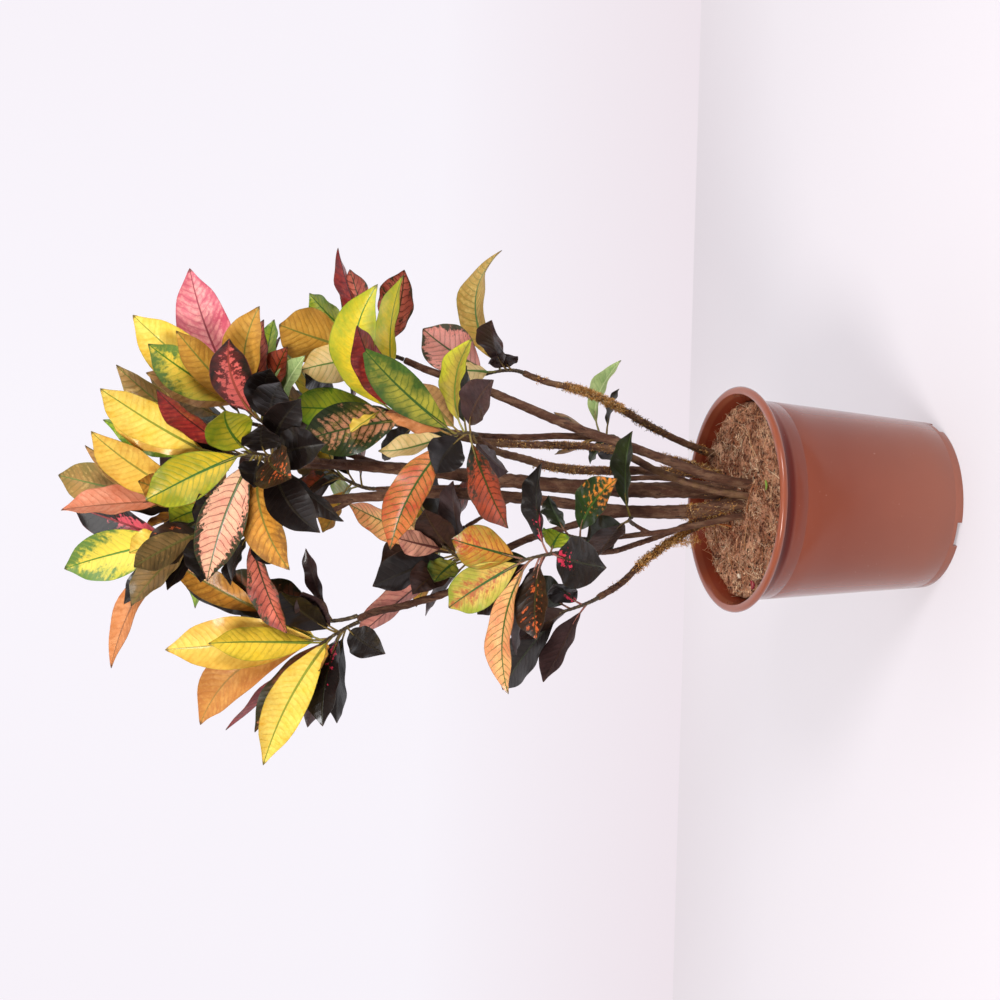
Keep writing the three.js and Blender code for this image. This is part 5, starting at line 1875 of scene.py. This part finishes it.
@dataclass
class Leaf:
    """One leaf, from its root on the shoot to its tip.

    Attributes:
        root: where its stalk leaves the shoot's middle.
        tip: its tip.
        width: the blade's greatest width, in metres.
        turn: turn of its face about its own line, in degrees.
        arch: how far its middle rises, as a percentage of its length.
        tint: the name of its colours.
        seed: a number of its own from 0 to 1.
    """

    root: Vector
    tip: Vector
    width: float
    turn: float
    arch: float
    tint: str
    seed: float

    def __post_init__(self) -> None:
        """Works out the leaf's line and facing."""
        along = (self.tip - self.root).normalized()
        rise = (Vector((0, 0, 1)) - along * along.z).normalized()
        self.length = (self.tip - self.root).length
        self.up = Matrix.Rotation(math.radians(self.turn), 3, along) @ rise
        self.bend = (self.root + self.tip) / 2 + rise * (2 * self.length * self.arch / 100)
        self.stalk = min(STALK_LENGTH * MM / self.length, STALK_SHARE)

    def along(self, share: np.ndarray) -> np.ndarray:
        """Gives places on the leaf's line, for shares of it from 0 to 1."""
        s = share[:, None]
        return ((1 - s) ** 2 * np.array(self.root) + 2 * s * (1 - s) * np.array(self.bend)
                + s ** 2 * np.array(self.tip))

    def heading(self, share: np.ndarray) -> np.ndarray:
        """Gives the line's directions, for shares of it from 0 to 1."""
        s = share[:, None]
        way = (1 - s) * np.array(self.bend - self.root) + s * np.array(self.tip - self.bend)
        return way / np.linalg.norm(way, axis=1)[:, None]

    def faces_camera(self) -> bool:
        """Tells whether the upper face is the one that the photograph shows."""
        middle = Vector(self.along(np.array([0.6]))[0])
        return self.up.dot(CAMERA_PLACE - middle) > 0


@dataclass
class Blade:
    """The leaf blade that all leaves are shaped from.

    Attributes:
        rows: how many strips it has along.
        columns: how many strips it has across.
        half_thickness: half of its thickness, in metres.
        groove: how deep the midrib lies in the upper face, in metres.
        ridge: how far the midrib stands out underneath, in metres.
        wave: how far the margin waves up and down, in metres.
        skew: how far past the middle it is widest.
        fullness: how round its ends are, from 1 for a plain arch to 0 for a rectangle.
        drip: how much its tip is drawn in.
        cup: how far its halves rise towards the margin, as a share of its half width.
        twist: how far its outer end is turned about its line at most, in radians.
        curl: how far its tip bends up or down at most, in metres.
    """

    rows: int = 26
    columns: int = 14
    skew: float = 1.16
    fullness: float = 0.72
    drip: float = 0.42
    cup: float = 0.34
    twist: float = 0.28
    curl: float = 5 * MM
    half_thickness: float = 0.28 * MM
    groove: float = 0.18 * MM
    ridge: float = 0.8 * MM
    wave: float = 1.9 * MM

    def __post_init__(self) -> None:
        """Models the blade once, as a flat closed sheet that is two wide and two long."""
        deselected()
        bpy.ops.mesh.primitive_grid_add(x_subdivisions=self.rows, y_subdivisions=self.columns, size=2)
        sheet = bpy.context.object
        modified(sheet, "SOLIDIFY", thickness=0.2, offset=0)
        places = corners(sheet.data)
        self.faces = [list(face.vertices) for face in sheet.data.polygons]
        even = (places[:, 0].clip(-1, 1) + 1) / 2
        self.share = 0.45 * even + 0.55 * (1 - np.cos(np.pi * even)) / 2
        across = places[:, 1].clip(-1, 1)
        self.lateral = np.sign(across) * np.abs(across) ** 1.2
        self.upper = places[:, 2] > 0
        bpy.data.objects.remove(sheet)

    def half_width(self, leaf: Leaf) -> np.ndarray:
        """Gives the blade's half width at each vertex, drawn in to a drip tip.

        Args:
            leaf: the leaf.

        Returns:
            The half widths in metres.
        """
        full = np.sin(np.pi * self.share ** self.skew).clip(0, 1) ** self.fullness
        taper = ((self.share - 0.8) / 0.2).clip(0, 1)
        full = full * (1 - self.drip * taper * taper * (3 - 2 * taper))
        return np.maximum(leaf.width / 2 * full, (0.9 - 0.75 * self.share) * MM)

    def shaped(self, leaf: Leaf) -> tuple[np.ndarray, np.ndarray]:
        """Bends the blade onto a leaf.

        Args:
            leaf: the leaf.

        Returns:
            The vertices' places, and their distances from the midrib in metres.
        """
        # Lines across the leaf at each vertex, twisted towards the tip by the leaf's own seed
        at = leaf.stalk + (1 - leaf.stalk) * self.share
        centre = leaf.along(at)
        way = leaf.heading(at)
        up = np.array(leaf.up) - way * (way @ np.array(leaf.up))[:, None]
        up /= np.linalg.norm(up, axis=1)[:, None]
        side = np.cross(way, up)
        turned = (self.twist * (2 * ((leaf.seed * 7.3) % 1) - 1) * self.share ** 2)[:, None]
        side, up = side * np.cos(turned) + up * np.sin(turned), up * np.cos(turned) - side * np.sin(turned)
        # The fold, the waves at the margin and the bend of the tip
        half = self.half_width(leaf)
        out = self.lateral * half
        lift = half * (self.cup * np.abs(self.lateral) ** 1.3 - self.cup + BLADE_FOLD)
        swing = self.share * (2.3 + 1.2 * leaf.seed) + leaf.seed * 5 + 0.4 * np.sign(self.lateral)
        margin = np.abs(self.lateral) ** 2.2 * (half / (leaf.width / 2))
        wave = self.wave * np.sin(math.tau * swing) * margin
        bent = 1 if leaf.seed > 0.35 else -0.6
        roll = -self.curl * bent * ((self.share - 0.55) / 0.45).clip(0, 1) ** 2
        # The two faces, with a groove over the midrib and a ridge under it
        skin = np.where(self.upper, self.half_thickness, -self.half_thickness)
        rib = np.exp(-(out / MM) ** 2) * (1 - 0.75 * self.share)
        skin = skin - np.where(self.upper, self.groove, self.ridge) * rib
        places = centre + side * out[:, None] + up * (lift + wave + roll + skin)[:, None]
        return places, out


@dataclass
class Head:
    """One shoot with its leaves.

    Attributes:
        name: the head's name in the tables.
        end: the woody end that the shoot grows from.
        top: the shoot's tip, in millimetres.
        rows: its leaves, from the lowest to the highest.
        place: how far the shoot stands aside of its woody end, in metres.
    """

    name: str
    end: str
    top: tuple[float, float, float]
    rows: tuple
    place: float

    def __post_init__(self) -> None:
        """Works out the shoot's line, which bends from the wood's direction to its own tip."""
        stem, branch = self.end.split(".") if "." in self.end else (self.end, "main")
        rows = STEMS[stem][branch]
        last = Vector(rows[-1][:3]) * MM
        self.way = (last - Vector(rows[-2][:3]) * MM).normalized()
        aside = (Vector((1, 0, 0)) - self.way * self.way.x).normalized()
        self.base = last + self.way * GAP + aside * self.place
        self.peak = Vector(self.top) * MM
        self.middle = self.base + self.way * (SHOOT_BEND * (self.peak - self.base).length)

    def shoot(self, share: float) -> Vector:
        """Gives a place on the shoot's line, for a share of it from 0 to 1."""
        rest = 1 - share
        return self.base * rest ** 2 + self.middle * (2 * share * rest) + self.peak * share ** 2

    def leaves(self) -> list[Leaf]:
        """Places the leaves where the part's own leaves settled.

        Returns:
            The leaves. One that found no room in the part has none here.
        """
        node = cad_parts[f"head_{self.name}"]
        tree = kdtree.KDTree(len(node.data.vertices))
        for k, vertex in enumerate(node.data.vertices):
            tree.insert(vertex.co, k)
        tree.balance()
        dice = random.Random(self.name)
        made = []
        for k, (right, back, up, width, turn, arch, tint) in enumerate(self.rows):
            share = SHOOT_LEAFY_FROM + (1 - SHOOT_LEAFY_FROM) * (k + 0.5) / len(self.rows)
            root = self.shoot(share)
            seed = dice.random()
            tip = self.settled(root, self.peak + Vector((right, back, up)) * MM, tree)
            if tip is None:
                LOG.info("%s: leaf %d has no place", self.name, k)
                continue
            made.append(Leaf(root, tip, width * MM, turn, arch, tint, seed))
        return made

    def settled(self, root: Vector, aim: Vector, tree: kdtree.KDTree) -> Vector | None:
        """Finds which of a leaf's possible tips the part has.

        Args:
            root: the leaf's root.
            aim: the tip that it aims at.
            tree: the vertices of the head's node.

        Returns:
            The tip, or None where the part has none of them.
        """
        for scale in CLEAR_SCALES:
            for aside in CLEAR_ASIDE:
                for step in CLEAR_STEPS:
                    shift = Vector((aside, step, -SIGHT_DROP * step)) * MM
                    tip = root + (aim + shift - root) * scale
                    if tree.find(tip)[2] < TIP_MATCH:
                        return tip
        return None

    def build(self, blade: Blade, skins: list[bpy.types.Material]) -> bpy.types.Object:
        """Joins the head's blades, stalks and shoot.

        Args:
            blade: the blade that the leaves are shaped from.
            skins: the leaf's material and the shoot's.

        Returns:
            The head.
        """
        leaves = self.leaves()
        stalks, faces, counts = laid(self.stalks(leaves), STALK_SIDES)
        stalk_faces = len(faces)
        places = [stalks]
        coats = {name: [np.zeros((len(stalks), 3))] for name in LEAF_ATTRIBUTES}
        coats["leaf_rib"] = [np.repeat(self.stalk_colours(leaves), counts, axis=0)]
        count = len(stalks)
        for leaf in leaves:
            spots, out = blade.shaped(leaf)
            places.append(spots)
            faces += [[k + count for k in face] for face in blade.faces]
            for name, values in leaf_coats(leaf, blade, out).items():
                coats[name].append(values)
            count += len(spots)
        head = meshed(f"leaves_{self.name}", np.vstack(places).tolist(), faces)
        for name, values in coats.items():
            marked(head.data, name, np.vstack(values))
        for skin in skins:
            head.data.materials.append(skin)
        slots = np.zeros(len(faces), dtype=np.int32)
        slots[:stalk_faces] = 1
        head.data.polygons.foreach_set("material_index", slots)
        bpy.ops.object.shade_smooth_by_angle(angle=math.radians(50))
        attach(head, "root")
        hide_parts(f"head_{self.name}")
        return head

    def stalks(self, leaves: list[Leaf]) -> list[np.ndarray]:
        """Draws the shoot and the leaves' stalks.

        Args:
            leaves: the head's leaves.

        Returns:
            Their points in metres, each with a radius.
        """
        shoot = []
        for k, share in enumerate(np.linspace(0, 1, SHOOT_RINGS)):
            radius = SHOOT_BASE_RADIUS + (SHOOT_TIP_RADIUS - SHOOT_BASE_RADIUS) * share
            slim = SHOOT_SLIMNESS * radius + SHOOT_KNOT * (k % 2)
            shoot.append((*self.shoot(share), slim * MM))
        ahead = (self.peak - self.middle).normalized()
        for away, slim in BUD:
            shoot.append((*(self.peak + ahead * away * MM), slim * MM))
        runs = [np.array(shoot)]
        for leaf in leaves:
            marks = (0, leaf.stalk, leaf.stalk + STALK_REACH)
            shares = np.linspace(0, marks[-1], STALK_RINGS)
            slim = np.interp(shares, marks, STALK_RADII) * MM
            sunk = np.interp(shares, marks, STALK_DEPTHS) * MM
            places = leaf.along(shares) - np.array(leaf.up) * sunk[:, None]
            runs.append(np.column_stack((places, slim)))
        return runs

    def stalk_colours(self, leaves: list[Leaf]) -> np.ndarray:
        """Colours the shoot and the stalks.

        Args:
            leaves: the head's leaves.

        Returns:
            One colour for the shoot, and then one for each leaf's stalk.
        """
        stalk = np.array(srgb(PINK_STALK if self.name in PINK_STALKED else STALK_COLOUR))
        shades = [srgb(SHOOT_COLOUR)]
        for leaf in leaves:
            rib = TINTS[leaf.tint].colours.split()[-1]
            shades.append((stalk + np.array(srgb(rib))) / 2)
        return np.array(shades)


def leaf_coats(leaf: Leaf, blade: Blade, out: np.ndarray) -> dict[str, np.ndarray]:
    """Works out what the leaf material reads at each vertex of a blade.

    Args:
        leaf: the leaf.
        blade: the blade that it was shaped from.
        out: the vertices' distances from the midrib, in metres.

    Returns:
        For each attribute one row of three numbers for each vertex.
    """
    count = len(out)
    tint = TINTS[leaf.tint]
    shown = blade.upper if leaf.faces_camera() else ~blade.upper
    inner_length = (1 - leaf.stalk) * leaf.length / MM
    shades = {}
    for name, code in zip(LEAF_COLOURS, tint.colours.split()):
        own = np.array(srgb(code))
        hidden = np.array(HIDDEN_DARK if own.mean() < DARK_LEAF_LIGHT else HIDDEN_BRIGHT)
        other = own * (1 - HIDDEN_SHARE) + hidden * HIDDEN_SHARE
        shades[name] = np.where(shown[:, None], own, other)
    return {
        "leaf_place": np.column_stack((blade.share * inner_length, out / MM, np.full(count, leaf.seed))),
        "leaf_share": np.column_stack((blade.share, blade.lateral, blade.upper)),
        "leaf_wash_style": np.tile((tint.washed, tint.spread, tint.soft), (count, 1)),
        "leaf_patch_style": np.tile((tint.patches, tint.margin, tint.tip), (count, 1)),
        "leaf_vein_style": np.tile((tint.halo, tint.lines, tint.gloss), (count, 1)),
        **shades,
    }


def back_rows(reach: float, count: int) -> tuple:
    """Spreads the leaves of a back head evenly.

    Args:
        reach: how far the leaves reach, in millimetres.
        count: how many there are.

    Returns:
        A row for each leaf, as in the table of heads.
    """
    rows = []
    for k in range(count):
        level = k / (count - 1)
        bearing = math.radians(90 + BACK_SPREAD * ((k * GOLDEN_SHARE) % 1 - 0.5))
        rise = math.radians(BACK_LOWEST_RISE + (BACK_HIGHEST_RISE - BACK_LOWEST_RISE) * level)
        far = reach * (1 - BACK_TAPER * level * level)
        rows.append((
            far * math.cos(rise) * math.cos(bearing), far * math.cos(rise) * math.sin(bearing),
            far * math.sin(rise), BACK_LEAF_WIDTH, BACK_TURN_STEP * (k % 3 - 1), BACK_ARCH,
            BACK_TINTS[(k + round(reach)) % len(BACK_TINTS)]))
    return tuple(rows)


def all_heads() -> list[Head]:
    """Lists the heads, with two shoots that share a woody end set side by side.

    Returns:
        The heads of the front and then those of the back.
    """
    table = [(name, *entry) for name, entry in HEADS.items()]
    for name, (end, top, reach, count) in BACK_HEADS.items():
        table.append((name, end, top, back_rows(reach, count)))
    ends = [entry[1] for entry in table]
    heads = []
    for k, (name, end, top, rows) in enumerate(table):
        before = ends[:k].count(end)
        place = (before - (ends.count(end) - 1) / 2) * TWIN_SHOOT_SPACING * MM
        heads.append(Head(name, end, top, rows, place))
    return heads


@dataclass
class Studio:
    """Pale floor, soft lights and the camera of the photograph.

    Attributes:
        seam_place: how far back the floor's seam lies, in metres.
        sheet_end: how far back the pale floor's front edge is, in metres.
        air_before: how bright the air is in front of the pot.
        air_behind: how bright the air is behind it.
    """

    seam_place: float = 0.71
    sheet_end: float = -0.33
    air_before: float = 0.22
    air_behind: float = 0.93

    def sheet(self, name: str, half: float, near: float, far: float, up: float,
              finish: Backdrop) -> None:
        """Makes a flat sheet of the floor.

        Args:
            name: its name.
            half: how far it goes right and left.
            near: how far back its front edge is.
            far: how far back its back edge is.
            up: its height.
            finish: its material.
        """
        deselected()
        bpy.ops.mesh.primitive_grid_add(
            x_subdivisions=8, y_subdivisions=8, size=1, location=(0, (near + far) / 2, up))
        sheet = bpy.context.object
        sheet.scale = (2 * half, far - near, 1)
        bpy.ops.object.transform_apply(location=True, rotation=True, scale=True)
        sheet.name = sheet.data.name = name
        sheet.data.materials.append(finish.material())

    def area(self, name: str, place: tuple, aim: tuple, size: float, power: float, colour: tuple) -> None:
        """Hangs one soft light.

        Args:
            name: its name.
            place: where it hangs.
            aim: what it points at.
            size: its width.
            power: its power in watts.
            colour: its colour.
        """
        lamp = bpy.data.lights.new(name, "AREA")
        lamp.shape = "DISK"
        lamp.size = size
        lamp.energy = power
        lamp.color = colour
        holder = bpy.data.objects.new(name, lamp)
        holder.location = place
        way = Vector(aim) - Vector(place)
        holder.rotation_euler = way.to_track_quat("-Z", "Y").to_euler()
        bpy.context.scene.collection.objects.link(holder)

    def build(self) -> None:
        """Sets up the stage, the light and the camera."""
        # The floor sheets glow with painted light and are painted darker at the seam; the back floor glows
        # as brightly as a wall would
        self.sheet("floor_sheet", 4, self.sheet_end, self.seam_place, 0,
                   Backdrop("floor_paper", "ebe5ea", 0.5, "dccdd2"))
        self.sheet("back_floor", 12, self.seam_place, 14, 0,
                   Backdrop("back_paper", "f8f4fb", 1.0, "c69ba3", 2.4))
        self.sheet("front_floor", 4, -5, self.sheet_end, -0.002,
                   Backdrop("front_paper", "a5a1a5", 0.0))
        self.air()
        self.area("key_light", (-1.0, -2.0, 2.3), (0, 0, 0.6), 1.0, 66, (1, 0.985, 0.96))
        self.area("fill_light", (1.5, -2.1, 1.9), (0, 0, 0.5), 1.0, 50, (0.98, 0.985, 1))
        self.area("top_light", (0.1, -0.2, 3.2), (0, 0.1, 0.5), 1.6, 18, (1, 1, 1))
        self.camera()
        bpy.context.scene.view_settings.view_transform = "Standard"

    def air(self) -> None:
        """Lights the air round the stage, brighter behind it than in front."""
        air = Shader("studio_air", "worlds", "Background")
        _, back, _ = air.parts(air.node("ShaderNodeTexCoord", {}, {}, "Generated"))
        bpy.context.scene.world = air.finished(
            Color=(0.97, 0.95, 1.0, 1),
            Strength=back.above(0.2, 0.2) * (self.air_behind - self.air_before) + self.air_before)

    def camera(self) -> None:
        """Sets up the camera, rolled as the photograph is."""
        right = Vector((1, 0, 0))
        above = Vector((0, math.sin(CAMERA_PITCH), math.cos(CAMERA_PITCH)))
        behind = Vector((0, -math.cos(CAMERA_PITCH), math.sin(CAMERA_PITCH)))
        leaned_right = right * math.cos(CAMERA_LEAN) + above * math.sin(CAMERA_LEAN)
        leaned_up = above * math.cos(CAMERA_LEAN) - right * math.sin(CAMERA_LEAN)
        turn = Matrix((-leaned_up, leaned_right, behind)).transposed()
        lens = bpy.data.cameras.new("photo_camera")
        lens.lens = CAMERA_LENS
        lens.sensor_width = CAMERA_SENSOR
        lens.clip_start = 0.05
        lens.clip_end = 50
        camera = bpy.data.objects.new("photo_camera", lens)
        camera.matrix_world = Matrix.Translation(CAMERA_PLACE) @ turn.to_4x4()
        bpy.context.scene.collection.objects.link(camera)
        bpy.context.scene.camera = camera


def main() -> None:
    """Builds the croton's pieces in order, then the studio."""
    logging.basicConfig(level=logging.INFO, format="%(message)s")
    Studio().build()
    pieces = [part.build() for part in (Pot(), Soil(), Litter(), Crumbs(), Twigs(), *FLAKES)]
    barks = {cover: Bark(cover).material() for cover in Cover}
    for name, branches in STEMS.items():
        cover = Cover.MOSS if name in MOSSY_STEMS else Cover.BARK
        pieces.append(Wood(name, branches, cover).build(barks))
    pieces += MossyCover().build()
    blade = Blade()
    skins = [LeafSkin().material(), Shoot().material()]
    pieces += [head.build(blade, skins) for head in all_heads()]
    for piece in pieces:
        LOG.info("%s: %d faces", piece.name, len(piece.data.polygons))


if __name__ == "__main__":
    main()
